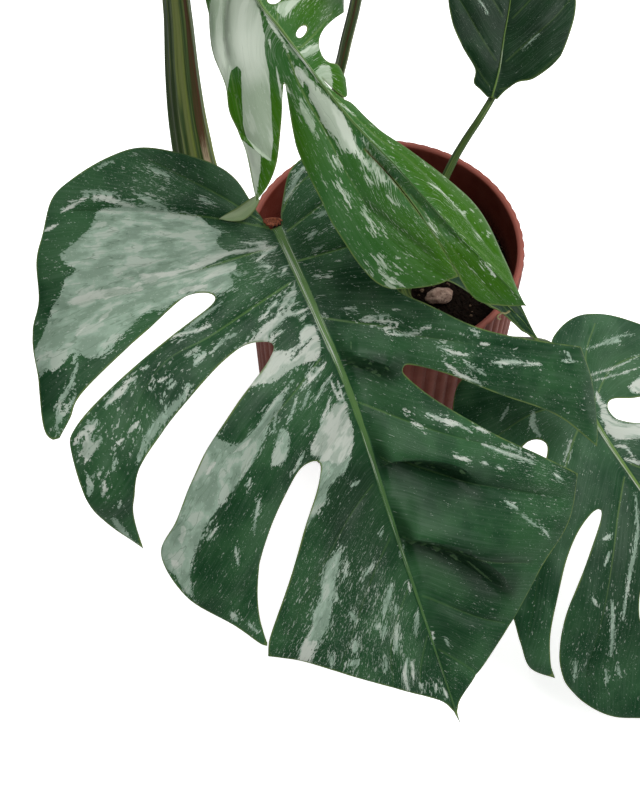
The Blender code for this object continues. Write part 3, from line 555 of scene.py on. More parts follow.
# A leaf's values. Folds are (points, height, half width) in the flat leaf: a ridge where the
# height is positive, a groove where it is negative. Pleats are (points, height, rise, drop): the
# blade swells up to the line from its left and falls away sharply on its right. Freckles, fresh
# and vein_light start with a base amount, and each spot is (s, t, reach, amount). A fresh amount
# above zero draws the yellow-green of young tissue; below zero it is painted shade, darkening
# the green towards black in pleats, creases and shaded parts of a blade.
LEAVES = {
    "leaf_front": {
        "midrib": ((-61, -88, 270), (-40, -128, 246), (-22, -157, 213), (1, -201, 154),
                   (35, -270, 78)),
        "roll": 2.0, "fold": (12.0, 10.0), "droop": (20.0, 18.0),
        "left": FRONT_LEFT, "right": FRONT_RIGHT, "holes": (),
        "veins": (FRONT_VEINS_LEFT, FRONT_VEINS_RIGHT), "patches": FRONT_PATCHES,
        "rib": 5.6, "grid": 2.1, "bulge": (2.2, 2.6),
        "folds": ((((0, -40), (-4, -90)), -1.2, 4.0),),
        "pleats": ((((131, 3), (134, 16), (139, 27), (147, 38), (159, 47), (174, 56)), 11.0, 16.0,
                    7.0),
                   (((175, 2), (182, 14), (190, 24), (200, 34), (213, 43), (230, 51), (244, 53)),
                    12.0, 17.0, 7.0),
                   (((72, 6), (79, 14), (87, 22), (96, 29)), 9.0, 12.0, 6.0)),
        "vein_light": ((0.2,), (10, 0, 55, 0.6), (45, -60, 40, 0.25), (100, 15, 30, 0.25)),
        "crisp": ((0.1,), (5, -28, 18, 0.7)),
        "freckles": ((0.34,), (210, -32, 60, 0.45), (52, -92, 34, 0.15), (20, -20, 26, 0.4),
                     (180, 92, 30, 0.35), (105, 60, 28, 0.2), (-40, -50, 22, 0.4),
                     (-5, 35, 30, 0.25), (200, 45, 38, -0.25), (150, 25, 34, -0.2),
                     (240, 6, 12, -0.5), (222, 5, 12, -0.5), (204, 5, 12, -0.5), (186, 5, 12, -0.4),
                     (168, 5, 12, -0.4), (120, -6, 10, -0.3), (140, -6, 10, -0.3)),
        # All the front leaf's fresh spots are below zero: painted shade in the pleats and on the
        # shaded parts of the blade.
        "fresh": ((0.0,), (140, -14, 16, -0.9), (10, -12, 14, -0.4), (150, -30, 12, -0.5),
                  (82, 16, 7, -0.9), (91, 25, 8, -1.0), (142, 20, 6, -0.6), (148, 31, 8, -0.7),
                  (160, 41, 9, -0.7), (172, 49, 9, -0.6), (188, 14, 7, -0.7), (197, 25, 9, -1.0),
                  (209, 36, 10, -1.0), (222, 44, 10, -0.9), (52, 32, 14, -0.5),
                  (119, -30, 20, -0.6), (180, -32, 26, -0.6),
                  (215, 50, 24, -0.5), (244, 6, 18, -0.4), (170, -8, 16, -0.4)),
    },
    "leaf_upper": {
        "midrib": ((-76, -32, 405), (-67, -63, 397), (-56, -75, 388), (-28, -94, 357),
                   (-2, -105, 330), (25, -118, 302), (60, -134, 268)),
        "roll": 0.0, "fold": (-40.0, -12.0), "droop": (14.0, 20.0),
        "left": UPPER_LEFT, "right": UPPER_RIGHT,
        "holes": ((59.0, 11.0, 2.0, 4.6, 0.0), (37.0, 9.0, 3.0, 4.6, 0.0)),
        "veins": (UPPER_VEINS_LEFT, UPPER_VEINS_RIGHT), "patches": UPPER_PATCHES,
        "rib": 2.6, "grid": 1.7, "bulge": (0.9, 1.6),
        "folds": ((((120, 10), (200, 13)), 1.6, 7.0), (((135, -23), (156, -20), (184, -16)), -2.4,
                                                       2.2),
                  (((70, -5), (86, -9), (110, -14)), -0.7, 1.4),
                  (((108, -4), (125, -5), (150, -4), (172, -3), (190, -1)), -2.8, 2.2)),
        "pleats": ((((95, -40), (86, -42), (80, -43), (74, -44), (66, -41), (60, -38)), 1.1, 10.0,
                    1.0),
                   (((27, -13), (44, -24), (60, -36)), 0.9, 8.0, 1.4)),
        "vein_light": ((0.35,), (90, -5, 40, 0.3)),
        "crisp": ((0.1,), (50, -20, 28, 0.9), (75, -36, 22, 0.8), (90, -45, 20, 0.8)),
        "freckles": ((0.4,), (40, 30, 34, 0.3), (165, 14, 40, 0.2), (112, -18, 7, 0.2),
                     (126, -26, 8, 0.3), (145, -26, 9, 0.2), (146, -12, 8, 0.15),
                     (164, -34, 8, 0.3), (176, -38, 8, 0.35)),
        # Fresh spots below zero are painted shade in the crease along the midrib; those above zero
        # are young yellow-green.
        "fresh": ((0.12,), (165, 14, 44, 0.9), (205, 8, 34, 0.8), (118, 8, 22, 0.4),
                  (150, -4, 6, -0.9), (163, -3, 6, -0.9), (176, -2, 6, -0.8), (138, -4, 5, -0.8),
                  (126, -4, 5, -0.8), (114, -3, 4, -0.7),
                  (84, 9, 12, 0.75), (76, -30, 16, 0.6), (40, 30, 34, 1.0), (92, -46, 16, 0.9),
                  (65, -40, 16, 0.8), (90, -36, 18, 0.95), (28, -18, 11, 0.9)),
    },
    "leaf_right": {
        "midrib": ((115, -98, 126), (124, -118, 121), (146, -146, 104), (186, -187, 66),
                   (227, -240, 22)),
        "roll": 0.0, "fold": (8.0, 10.0), "droop": (42.0, 16.0),
        "left": RIGHT_LEFT, "right": RIGHT_RIGHT, "holes": ((112.0, -38.0, 15.0, 5.0, -42.0),),
        "veins": (RIGHT_VEINS_LEFT, RIGHT_VEINS_RIGHT), "patches": RIGHT_PATCHES,
        "rib": 3.4, "grid": 2.4, "bulge": (1.2, 1.2), "folds": (), "pleats": (),
        "vein_light": ((0.4,),), "crisp": ((0.0,),),
        "freckles": ((0.28,), (120, -85, 40, 0.2), (-15, 30, 30, -0.1)),
        # Painted light: the spot above zero lightens the top of the blade where the light falls,
        # and the spots below zero are painted shade on its lower half.
        "fresh": ((0.0,), (0, 24, 26, 0.12), (75, -30, 40, -0.35), (110, -62, 45, -0.5),
                  (70, 10, 40, -0.35), (130, -20, 45, -0.5), (-2, -30, 30, -0.3)),
    },
    "leaf_heart": {
        "midrib": ((62, 56, 215), (66, 68, 225), (69, 85, 236), (73, 105, 246), (78, 143, 258),
                   (81, 168, 260)),
        "roll": 0.0, "fold": (12.0, 12.0), "droop": (8.0, 8.0),
        "left": HEART_LEFT, "right": HEART_RIGHT, "holes": (),
        "veins": (HEART_VEINS_LEFT, HEART_VEINS_RIGHT), "patches": HEART_PATCHES,
        "rib": 1.3, "grid": 2.2, "bulge": (1.6, 1.4), "folds": (), "pleats": (),
        "vein_light": ((0.15,),), "crisp": ((0.0,),),
        "freckles": ((0.16,), (50, 20, 24, 0.1)), "fresh": ((0.0,),),
    },
    "leaf_small": {
        "midrib": ((31, -27, 172), (49, -52, 180), (68, -67, 174), (86, -80, 160)),
        "roll": 0.0, "fold": (20.0, 20.0), "droop": (8.0, 8.0),
        "left": SMALL_LEFT, "right": SMALL_RIGHT, "holes": (),
        "veins": (SMALL_VEINS_LEFT, SMALL_VEINS_RIGHT), "patches": SMALL_PATCHES,
        "rib": 1.4, "grid": 1.8, "bulge": (0.5, 0.5), "folds": (), "pleats": (),
        "vein_light": ((0.2,),), "crisp": ((0.0,),),
        "freckles": ((0.22,),), "fresh": ((0.0,),),
    },
    "leaf_back": {
        "midrib": ((-12, 40, 455), (-22, 84, 462), (-36, 128, 452), (-50, 168, 424),
                   (-60, 200, 386)),
        "roll": 0.0, "fold": (14.0, 14.0), "droop": (18.0, 18.0),
        "left": for_back(FRONT_RIGHT), "right": for_back(FRONT_LEFT), "holes": (),
        "veins": (for_back(FRONT_VEINS_RIGHT), for_back(FRONT_VEINS_LEFT)),
        "patches": BACK_PATCHES,
        "rib": 3.0, "grid": 2.4, "bulge": (1.2, 1.2), "folds": (), "pleats": (),
        "vein_light": ((0.35,),), "crisp": ((0.0,),),
        "freckles": ((0.34,), (120, 20, 40, 0.3), (20, -30, 30, 0.3)), "fresh": ((0.1,),),
    },
}

# The upper leaf's curled drip tip, on the front leaf: (s, t, height) along it, and its half width.
CURL = ((-17, -4, 4.0), (-15, -10, 4.4), (-13.5, -17, 3.2), (-14, -26, 1.6))
CURL_WIDTH = 4.6

# Outline of the dried end of the sheath on the front leaf.
COLLAR = ((-5.9, -5.2), (-4.2, -5.6), (-3.2, -4.7), (-2.6, -5.0), (-1.4, -3.6), (-1.7, -2.6),
          (-0.5, -1.9), (-1.2, -0.8), (-0.1, 0.2), (-1.0, 1.1), (-0.3, 2.1), (-1.9, 2.7),
          (-1.6, 3.9), (-3.2, 3.2), (-4.2, 1.6), (-5.0, -0.4), (-5.6, -2.6))

# Each petiole: its leaf, its radii at even steps from foot to top, the height of its foot on the
# stem, and the points of its route.
PETIOLES = {
    "petiole_front": ("leaf_front", (6.0, 4.6), 144.0,
                      ((-5, -32, 156), (-14, -47, 186), (-32, -65, 222), (-49, -81, 247))),
    "petiole_upper": ("leaf_upper", (8.0, 10.5, 10.5, 7.2, 5.8, 4.8), 130.0,
                      ((-20, -10, 137), (-48, -16, 153), (-75, -18, 167), (-96, -9, 182),
                       (-108, 7, 203), (-113, 20, 228), (-115, 30, 258), (-115, 36, 292),
                       (-115, 38, 325), (-112, 32, 358), (-103, 20, 380), (-90, 4, 391),
                       (-81, -14, 393))),
    "petiole_right": ("leaf_right", (5.0, 4.2), 136.0,
                      ((12, -42, 144), (19, -60, 154), (31, -77, 163), (48, -86, 166),
                       (70, -84, 162), (86, -77, 151), (95, -74, 141), (102, -80, 129),
                       (109, -90, 118))),
    "petiole_heart": ("leaf_heart", (3.4, 1.9), 131.0,
                      ((21, 8, 138), (32, 29, 158), (41, 41, 176), (48, 47, 189), (56, 52, 203))),
    "petiole_small": ("leaf_small", (2.4, 2.0), 142.0,
                      ((24, -24, 146), (31, -26, 158))),
    "petiole_back": ("leaf_back", (3.8, 2.6), 139.0,
                     ((-5, 16, 146), (-20, 38, 182), (-29, 50, 225), (-26, 45, 262), (-20, 44, 300),
                      (-16, 42, 345), (-13, 40, 400), (-12, 41, 435))),
}
PETIOLE_FOOT_CLEAR = 0.4
PETIOLE_FOOT_RUN = 3.0
PETIOLE_LEAF_CLEAR = 0.8
PETIOLE_TOP_RUN = 1.6
RIB_DEPTH = 3.2
BLADE = 0.8


def catmull(points, per):
    """Points of a smooth curve through the given ones, per steps to each span."""
    p = [np.array(q, float) for q in points]
    out = []
    for i in range(len(p) - 1):
        before = p[i - 1] if i else 2 * p[i] - p[i + 1]
        after = p[i + 2] if i + 2 < len(p) else 2 * p[i + 1] - p[i]
        for k in range(per):
            u = k / per
            out.append(0.5 * (2 * p[i] + (p[i + 1] - before) * u
                              + (2 * before - 5 * p[i] + 4 * p[i + 1] - after) * u * u
                              + (3 * p[i] - before - 3 * p[i + 1] + after) * u ** 3))
    out.append(p[-1])
    return np.array(out)


def travelled(curve):
    """How far along a curve each of its points is."""
    return np.r_[0, np.cumsum(np.linalg.norm(np.diff(curve, axis=0), axis=1))]


def even_steps(curve, step):
    """The curve's points again, at even distances of about step; both ends stay."""
    lengths = travelled(curve)
    count = max(1, int(round(lengths[-1] / step)))
    marks = np.linspace(0, lengths[-1], count + 1)
    return np.stack([np.interp(marks, lengths, curve[:, k]) for k in range(curve.shape[1])], 1)


def margin(runs, step):
    """One side of a leaf's edge, from the petiole to the tip. A run ends at a corner."""
    out = []
    start = None
    for run in runs:
        points = run if start is None else (start, *run)
        out.extend(tuple(q) for q in even_steps(catmull(points, 10), step)[:-1])
        start = run[-1]
    out.append(tuple(start))
    return out


def tip_of(leaf):
    """Where the midrib ends."""
    return leaf["left"][-1][-1][0]


def unit(vectors):
    return vectors / np.linalg.norm(vectors, axis=-1, keepdims=True)


class Blade:
    """Bends flat leaf points to their places: along the midrib, up by fold, down by droop."""

    def __init__(self, leaf):
        self.curve = catmull(leaf["midrib"], 24)
        self.lengths = travelled(self.curve)
        self.first = unit(self.curve[3] - self.curve[0])
        self.last = unit(self.curve[-1] - self.curve[-4])
        self.roll = math.radians(leaf["roll"])
        self.fold = leaf["fold"]
        self.droop = leaf["droop"]

    def at(self, s):
        total = self.lengths[-1]
        place = np.stack([np.interp(s, self.lengths, self.curve[:, k]) for k in range(3)], -1)
        place = place + np.minimum(s, 0.0)[:, None] * self.first
        return place + np.maximum(s - total, 0.0)[:, None] * self.last

    def frame(self, s):
        """Places on the midrib, with the directions across it and up from the blade."""
        along = unit(self.at(s + 6.0) - self.at(s - 6.0))
        level = unit(np.cross((0.0, 0.0, 1.0), along))
        up = np.cross(along, level)
        across = level * math.cos(self.roll) - up * math.sin(self.roll)
        return self.at(s), across, np.cross(along, across)

    def flatness(self, s):
        """How much of its fold a blade has: it lies flatter where the petiole joins it."""
        return np.clip((s + 8.0) / 34.0, 0.25, 1.0)

    def place(self, s, t, lift=0.0):
        place, across, up = self.frame(s)
        fold = np.radians(np.where(t < 0, self.fold[0], self.fold[1])) * self.flatness(s)
        droop = np.radians(np.where(t < 0, self.droop[0], self.droop[1])) / 100.0
        distance = np.abs(t)
        out = (np.sin(fold) - np.sin(fold - droop * distance)) / droop
        rise = (np.cos(fold - droop * distance) - np.cos(fold)) / droop
        return place + (np.sign(t) * out)[:, None] * across + (rise + lift)[:, None] * up

    def normal(self, s, t):
        """Direction that stands straight up from the bent blade, evened out over the midrib."""
        step = 2.0
        along = self.place(s + step, t) - self.place(s - step, t)
        across = self.place(s, t + step) - self.place(s, t - step)
        return unit(np.cross(along, across))


def near_line(points, line):
    """Distance of each point to a line of points, how far along the line its foot is, and its
    side: 1 on the left of the line as it runs in (s, t), -1 on its right."""
    line = np.asarray(line, float)
    best = np.full(len(points), FAR)
    along = np.zeros(len(points))
    side = np.ones(len(points))
    gone = 0.0
    for a, b in zip(line[:-1], line[1:]):
        d = b - a
        length = float(np.hypot(*d))
        if length < TINY:
            continue
        away = points - a
        share = np.clip((away @ d) / length ** 2, 0.0, 1.0)
        gap = np.hypot(*(away - share[:, None] * d).T)
        closer = gap < best
        best = np.where(closer, gap, best)
        along = np.where(closer, gone + share * length, along)
        side = np.where(closer, np.sign(d[0] * away[:, 1] - d[1] * away[:, 0]), side)
        gone += length
    return best, along, side


def near_lines(points, lines):
    """Distance of each point to the nearest of several lines."""
    return np.min([near_line(points, line)[0] for line in lines], 0)


def near_points(points, others):
    """Distance of each point to the nearest of the others."""
    return np.min(np.hypot(points[:, None, 0] - others[None, :, 0],
                           points[:, None, 1] - others[None, :, 1]), 1)


def within(points, loop):
    """Even-odd test of points against a closed loop."""
    loop = np.asarray(loop, float)
    x, y = points[:, 0], points[:, 1]
    found = np.zeros(len(points), bool)
    for (x1, y1), (x2, y2) in zip(loop, np.roll(loop, -1, axis=0)):
        if y1 == y2:
            continue
        crosses = ((y1 > y) != (y2 > y)) & (x < (x2 - x1) * (y - y1) / (y2 - y1) + x1)
        found ^= crosses
    return found


def in_blade(points, loops):
    """Whether each point lies in the first loop and in none of the others."""
    found = within(points, loops[0])
    for hole in loops[1:]:
        found &= ~within(points, hole)
    return found


def oval(s, t, half_s, half_t, turn, step):
    """An oval window in the blade, turned by an angle in degrees."""
    count = max(16, int(round(math.pi * (half_s + half_t) / step)))
    angles = 2 * math.pi * np.arange(count) / count
    a, b = half_s * np.cos(angles), half_t * np.sin(angles)
    cosine, sine = math.cos(math.radians(turn)), math.sin(math.radians(turn))
    return np.stack([s + a * cosine - b * sine, t + a * sine + b * cosine], 1)


def smooth(value):
    """A smooth step from 0 to 1."""
    value = np.clip(value, 0.0, 1.0)
    return value * value * (3.0 - 2.0 * value)


def vein_field(points, veins):
    """Vein number (whole numbers on the veins) and distance along the veins, point by point."""
    sides, alongs = [], []
    for vein in veins:
        line = even_steps(catmull(vein, 8), 4.0)
        line = np.vstack([line, line[-1] + unit(line[-1] - line[-2]) * VEIN_REACH])
        gap, along, side = near_line(points, line)
        sides.append(side * gap)
        alongs.append(along)
    sides, alongs = np.array(sides), np.array(alongs)
    if sides[0][np.argmax(points[:, 0])] < 0:
        sides = -sides
    last = len(veins) - 1
    low = np.clip((sides > 0).sum(0) - 1, -1, last)
    rows = np.arange(len(points))
    first = sides[np.maximum(low, 0), rows]
    second = sides[np.minimum(low + 1, last), rows]
    spread = np.maximum(first - second, TINY)
    share = np.clip(first / spread, 0.0, 1.0)
    number = np.where(low < 0, sides[0] / OUTER_SPACING, low + share)
    number = np.where(low >= last, last + sides[last] / OUTER_SPACING, number)
    share = np.where((low < 0) | (low >= last), 0.0, share)
    along = alongs[np.clip(low, 0, last), rows] * (1 - share)
    along = along + alongs[np.clip(low + 1, 0, last), rows] * share
    return number, along


def tone_fields(points, patches):
    """Signed distances, in mm, to the sage and cream marks: negative inside them."""
    pale, cream = np.full((2, len(points)), TONE_REACH)
    for tone, width, shape in patches:
        if width:
            gap, along, _ = near_line(points, shape)
            swell = np.sin(np.pi * along / travelled(shape)[-1])
            gap = gap - width * (0.14 + 0.36 * np.clip(swell, 0.0, 1.0) ** 0.7)
        else:
            gap = near_line(points, (*shape, shape[0]))[0]
            gap = np.where(within(points, shape), -gap, gap)
        if tone == GREEN:
            pale = np.maximum(pale, -gap)
            cream = np.maximum(cream, -gap)
            continue
        pale = np.minimum(pale, gap)
        if tone == CREAM:
            cream = np.minimum(cream, gap)
    return np.clip((pale, cream), -TONE_REACH, TONE_REACH)


def spots(points, values):
    """A base amount, and what each round spot adds to it."""
    total = np.full(len(points), float(values[0][0]))
    for s, t, reach, amount in values[1:]:
        total += amount * np.exp(-((points[:, 0] - s) ** 2 + (points[:, 1] - t) ** 2) / reach ** 2)
    return np.clip(total, -1.0, 1.0)


def relief(points, leaf, number, gaps, edge_gap):
    """Height of the upper side over the plain blade: midrib, veins, quilting, folds and margin."""
    tip = tip_of(leaf)
    s, t = points.T
    distance = np.abs(t)
    half_rib = leaf["rib"] / 2 * np.clip(1.05 - s / tip, 0.2, 1.0)
    height = 0.55 * np.exp(-(distance / half_rib) ** 4) * (s > -1)
    height -= 0.35 * np.exp(-((distance - half_rib * 1.5) / (half_rib * 0.6)) ** 2)
    quilt = np.where(t < 0, leaf["bulge"][0], leaf["bulge"][1])
    crown = 1.0 - (2.0 * (number - np.floor(number)) - 1.0) ** 2
    height += quilt * crown * smooth((distance - 3.0) / 26.0) * smooth(edge_gap / 14.0)
    height -= 0.5 * np.exp(-(gaps / 0.9) ** 2) * smooth((distance - 2.0) / 4.0)
    height -= 0.7 * np.exp(-(gaps / 3.6) ** 2) * smooth((distance - 3.0) / 8.0)
    for line, lift, wide in leaf["folds"]:
        curve = catmull(line, 8)
        gap, along, _ = near_line(points, curve)
        total = travelled(curve)[-1]
        ends = smooth(np.minimum(along, total - along) / (0.3 * total) + 0.25)
        height += lift * np.exp(-(gap / wide) ** 2) * ends
    for line, lift, rise, drop in leaf["pleats"]:
        curve = catmull(line, 8)
        gap, along, side = near_line(points, curve)
        total = travelled(curve)[-1]
        ends = smooth((total - along) / (0.5 * total)) * smooth(along / (0.2 * total) + 0.6)
        ends = ends * smooth((t * np.sign(curve[:, 1].mean()) - 1.0) / 6.0)
        before = np.exp(-(gap / rise) ** 2)
        after = (1.0 - 1.6 * smooth(gap / drop)) * np.exp(-(gap / (3.2 * drop)) ** 2)
        height += lift * ends * np.where(side > 0, before, after)
    wave = np.array([noise.noise(Vector((a / 34.0, b / 34.0, tip))) for a, b in points])
    height += 2.2 * wave * smooth(1.0 - edge_gap / 26.0) * smooth((distance - 6.0) / 20.0)
    height -= 0.8 * smooth(1.0 - edge_gap / 3.0)
    return height


def triangulated(points, edges, loops):
    """Triangles between the loops, and the new number of each given point."""
    found = geometry.delaunay_2d_cdt([Vector(q) for q in points], edges, [], 0, 1e-5)
    flat = np.array([(v.x, v.y) for v in found[0]])
    faces = np.array([f for f in found[2]], int)
    faces = faces[in_blade(flat[faces].mean(1), loops)]
    a, b, c = (flat[faces[:, k]] for k in range(3))
    turned = ((b[:, 0] - a[:, 0]) * (c[:, 1] - a[:, 1])
              - (b[:, 1] - a[:, 1]) * (c[:, 0] - a[:, 0])) < 0
    faces[turned] = faces[turned][:, ::-1]
    home = np.full(len(points), -1)
    for new, olds in enumerate(found[3]):
        for old in olds:
            home[old] = new
    return flat, faces, home


def blade_sheet(loops, lines, step):
    """Flat triangles of one side of a leaf: its loops, lines drawn on it and an even grid."""
    points, edges = [], []
    for loop in loops:
        base = len(points)
        points.extend(map(tuple, loop))
        edges.extend((base + i, base + (i + 1) % len(loop)) for i in range(len(loop)))
    border = np.array(points)
    drawn = []
    for line in lines:
        line = np.asarray(line, float)
        keep = in_blade(line, loops) & (near_points(line, border) > BORDER_CLEAR)
        for taken in drawn:
            keep &= near_points(line, taken) > LINE_CLEAR
        if keep.any():
            drawn.append(line[keep])
    fixed = np.vstack([border, *drawn])
    low, high = border.min(0), border.max(0)
    rows = np.arange(low[0], high[0], step * 0.87)
    grid = np.array([(s, t) for k, s in enumerate(rows)
                     for t in np.arange(low[1] + (step / 2 if k % 2 else 0.0), high[1], step)])
    grid = grid[in_blade(grid, loops)]
    near = np.min([near_points(grid, part)
                   for part in np.array_split(fixed, max(1, len(fixed) // 200))], 0)
    grid = grid[near > step * 0.5]
    points = [tuple(q) for q in np.vstack([fixed, grid])]
    return triangulated(points, edges, loops)


def new_piece(name, mesh, *finishes):
    """A new object at the origin that shows a mesh with its finishes."""
    for finish in finishes:
        mesh.materials.append(finish)
    piece = bpy.data.objects.new(name, mesh)
    bpy.context.scene.collection.objects.link(piece)
    return piece


def settled(piece, slot, *nodes):
    """Puts a finished piece in the frame: its body and the nodes it stands for. The slot is not
    used.
    """
    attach(piece, BODY)
    if nodes:
        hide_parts(*nodes)


def made_smooth(mesh, degrees):
    """Shades a mesh smoothly, but not over edges sharper than an angle."""
    mesh.polygons.foreach_set("use_smooth", np.ones(len(mesh.polygons), bool))
    mesh.set_sharp_from_angle(angle=math.radians(degrees))


def outward(mesh):
    """Turns a closed mesh's faces outwards if they point in, and smooths its gentle edges."""
    bm = bmesh.new()
    bm.from_mesh(mesh)
    if bm.calc_volume(signed=True) < 0:
        bmesh.ops.reverse_faces(bm, faces=bm.faces)
    bm.to_mesh(mesh)
    bm.free()
    made_smooth(mesh, 38)
    return mesh


def written(mesh, maps, fields):
    """Writes UV maps, a row for each corner, and vector fields, a row for each point."""
    for title, values in maps.items():
        layer = mesh.uv_layers.new(name=title)
        layer.data.foreach_set("uv", values.astype(np.float32).ravel())
    for title, values in fields.items():
        layer = mesh.attributes.new(title, "FLOAT_VECTOR", "POINT")
        layer.data.foreach_set("vector", values.astype(np.float32).ravel())


def rim_faces(loops, rings):
    """Quads between the upper and the lower ring of points of each loop."""
    rim = []
    for number, (loop, top, bottom) in enumerate(zip(loops, *rings)):
        following = np.roll(loop, -1, axis=0)
        turning = np.sum(loop[:, 0] * following[:, 1] - following[:, 0] * loop[:, 1])
        forward = (turning > 0) == (number == 0)
        for i in range(len(top)):
            j = (i + 1) % len(top)
            if top[i] == top[j] or bottom[i] == bottom[j]:
                continue
            quad = (top[j], top[i], bottom[i], bottom[j])
            rim.append(quad if forward else quad[::-1])
    return rim


def leaf_mesh(name, leaf, thickness, lift):
    """A thin closed leaf: a finely drawn upper side, an underside with its ribs, and the rim."""
    tip = tip_of(leaf)
    edge = margin(leaf["left"], EDGE_STEP) + margin(leaf["right"], EDGE_STEP)[-2::-1]
    loops = [np.array(edge)] + [oval(*hole, EDGE_STEP) for hole in leaf["holes"]]
    blade = Blade(leaf)
    half = leaf["rib"] / 2
    lines = [[(s, w * half * max(0.2, 1.05 - s / tip)) for s in np.arange(1.0, tip - 1.0, 2.0)]
             for w in (0.0, -0.75, 0.75, -1.3, 1.3, -2.0, 2.0)]
    vein_lines = [even_steps(catmull(v, 8), 1.7) for side in leaf["veins"] for v in side]
    lines += vein_lines
    marks = [even_steps(np.array(shape, float), 1.5)
             for _, width, shape in leaf["patches"] if width]
    for line, _, _, drop in leaf["pleats"]:
        curve = even_steps(catmull(line, 8), 1.2)
        run = unit(np.gradient(curve, axis=0))
        beside = np.stack([run[:, 1], -run[:, 0]], 1)
        marks.extend(curve + beside * drop * share for share in (0.0, 0.5, 1.0))
    sheets = (blade_sheet(loops, lines + marks, leaf["grid"]),
              blade_sheet(loops, lines, UNDER_STEP))
    places, faces, rings = [], [], []
    maps = {"flat": [], "vein": []}
    fields = {"tone": [], "gaps": [], "tint_and_shade": []}
    base = 0
    for under, (flat, triangles, home) in enumerate(sheets):
        left, right = (vein_field(flat, veins) for veins in leaf["veins"])
        s, t = flat.T
        vein_gap = near_lines(flat, vein_lines)
        edge_gap = near_lines(flat, [np.vstack([loop, loop[:1]]) for loop in loops])
        height = relief(flat, leaf, np.where(t < 0, left[0], right[0]), vein_gap, edge_gap) + lift
        if under:
            taper = np.clip(1.0 - s / tip, 0.15, 1.0)
            rib = 1.9 * taper * np.exp(-(np.abs(t) / (half * taper + 0.6)) ** 2) * (s > 0)
            rib += 0.5 * np.exp(-(vein_gap / 1.3) ** 2)
            height = height - thickness * (0.5 + 0.5 * smooth(edge_gap / 4.0)) - rib
        places.append(blade.place(s, t) + blade.normal(s, t) * height[:, None])
        on_left = np.repeat(flat[triangles].mean(1)[:, 1] < 0, 3)
        order = triangles[:, ::-1] if under else triangles
        corners = order.ravel()
        maps["flat"].append(flat[corners] / UV_SCALE)
        maps["vein"].append(np.stack([
            np.where(on_left, left[1][corners], right[1][corners]) / UV_SCALE,
            np.where(on_left, left[0][corners], right[0][corners] + RIGHT_NUMBERS)], 1))
        fields["tone"].append(np.stack([*tone_fields(flat, leaf["patches"]),
                                        spots(flat, leaf["freckles"])], 1))
        fields["gaps"].append(np.stack([np.minimum(vein_gap, GAP_REACH),
                                        np.minimum(edge_gap, GAP_REACH),
                                        np.full(len(flat), float(under))], 1))
        fields["tint_and_shade"].append(np.stack([spots(flat, leaf[title]) for title in (
            "fresh", "vein_light", "crisp")], 1))
        faces.extend((order + base).tolist())
        starts = np.cumsum([0] + [len(loop) for loop in loops])
        rings.append([base + home[low:high] for low, high in zip(starts, starts[1:])])
        base += len(flat)
    rim = rim_faces(loops, rings)
    rim_corners = np.array(rim).ravel()
    maps["flat"].append(np.vstack([sheet[0] for sheet in sheets])[rim_corners] / UV_SCALE)
    maps["vein"].append(np.zeros((len(rim_corners), 2)))
    used, renumbered = np.unique(np.r_[np.ravel(faces), rim_corners], return_inverse=True)
    corner_count = 3 * len(faces)
    mesh = bpy.data.meshes.new(name)
    mesh.from_pydata((np.vstack(places)[used] * MM).tolist(), [],
                     renumbered[:corner_count].reshape(-1, 3).tolist()
                     + renumbered[corner_count:].reshape(-1, 4).tolist())
    written(mesh, {title: np.vstack(values) for title, values in maps.items()},
            {title: np.vstack(values)[used] for title, values in fields.items()})
    made_smooth(mesh, 50)
    mesh.update()
    return mesh


def double_sheet(name, top, normal, thickness, faces, rim):
    """A closed sheet and its faces: those given above, the same ones turned over below, and a
    rim round both."""
    under = len(top)
    faces = faces + [tuple(under + i for i in face[::-1]) for face in faces]
    faces += [(a, b, under + b, under + a) for a, b in zip(rim, rim[1:] + rim[:1])]
    mesh = bpy.data.meshes.new(name)
    mesh.from_pydata((np.vstack([top, top - normal * thickness]) * MM).tolist(), [], faces)
    return mesh, faces


def curl_mesh(name, blade):
    """The curled drip tip of the upper leaf's lobe, where it lies on the front leaf."""
    spine = even_steps(catmull(CURL, 12), 0.7)
    count, sides = len(spine), 9
    points, rows = [], []
    for k, (s, t, height) in enumerate(spine):
        share = k / (count - 1)
        width = CURL_WIDTH * math.sin(math.pi * min(1.0, 0.1 + 0.92 * share)) ** 0.8 + 0.25
        for side in np.linspace(-1.0, 1.0, sides):
            points.append((s + width * (side * 0.75 + 0.35), t,
                           height + 1.2 * side * side * width / CURL_WIDTH))
            rows.append((share, side))
    s, t, height = np.array(points).T
    normal = blade.normal(s, t)
    starts = [(k * sides + i, (k + 1) * sides + i)
              for k in range(count - 1) for i in range(sides - 1)]
    rim = list(range(sides)) + [k * sides + sides - 1 for k in range(1, count)]
    rim += [(count - 1) * sides + i for i in range(sides - 2, -1, -1)]
    rim += [k * sides for k in range(count - 2, 0, -1)]
    mesh, faces = double_sheet(name, blade.place(s, t) + normal * height[:, None], normal, 0.5,
                               [(a, b, b + 1, a + 1) for a, b in starts], rim)
    share, side = np.array(rows + rows).T
    gap = 3.2 * (side - 0.25)
    zero, corners = np.zeros(len(gap)), [i for face in faces for i in face]
    written(mesh, {title: np.stack([share * 0.2, 0.3 + side * wide], 1)[corners]
                   for title, wide in (("flat", 0.04), ("vein", 0.16))},
            {"tone": np.stack([gap - 3.0, gap, zero], 1),
             "gaps": np.stack([zero + 9.0, 3.0 * (1.0 - np.abs(side)), zero], 1),
             "tint_and_shade": np.stack([side * 0.5 + 0.5, zero, zero + 0.7], 1)})
    return outward(mesh)


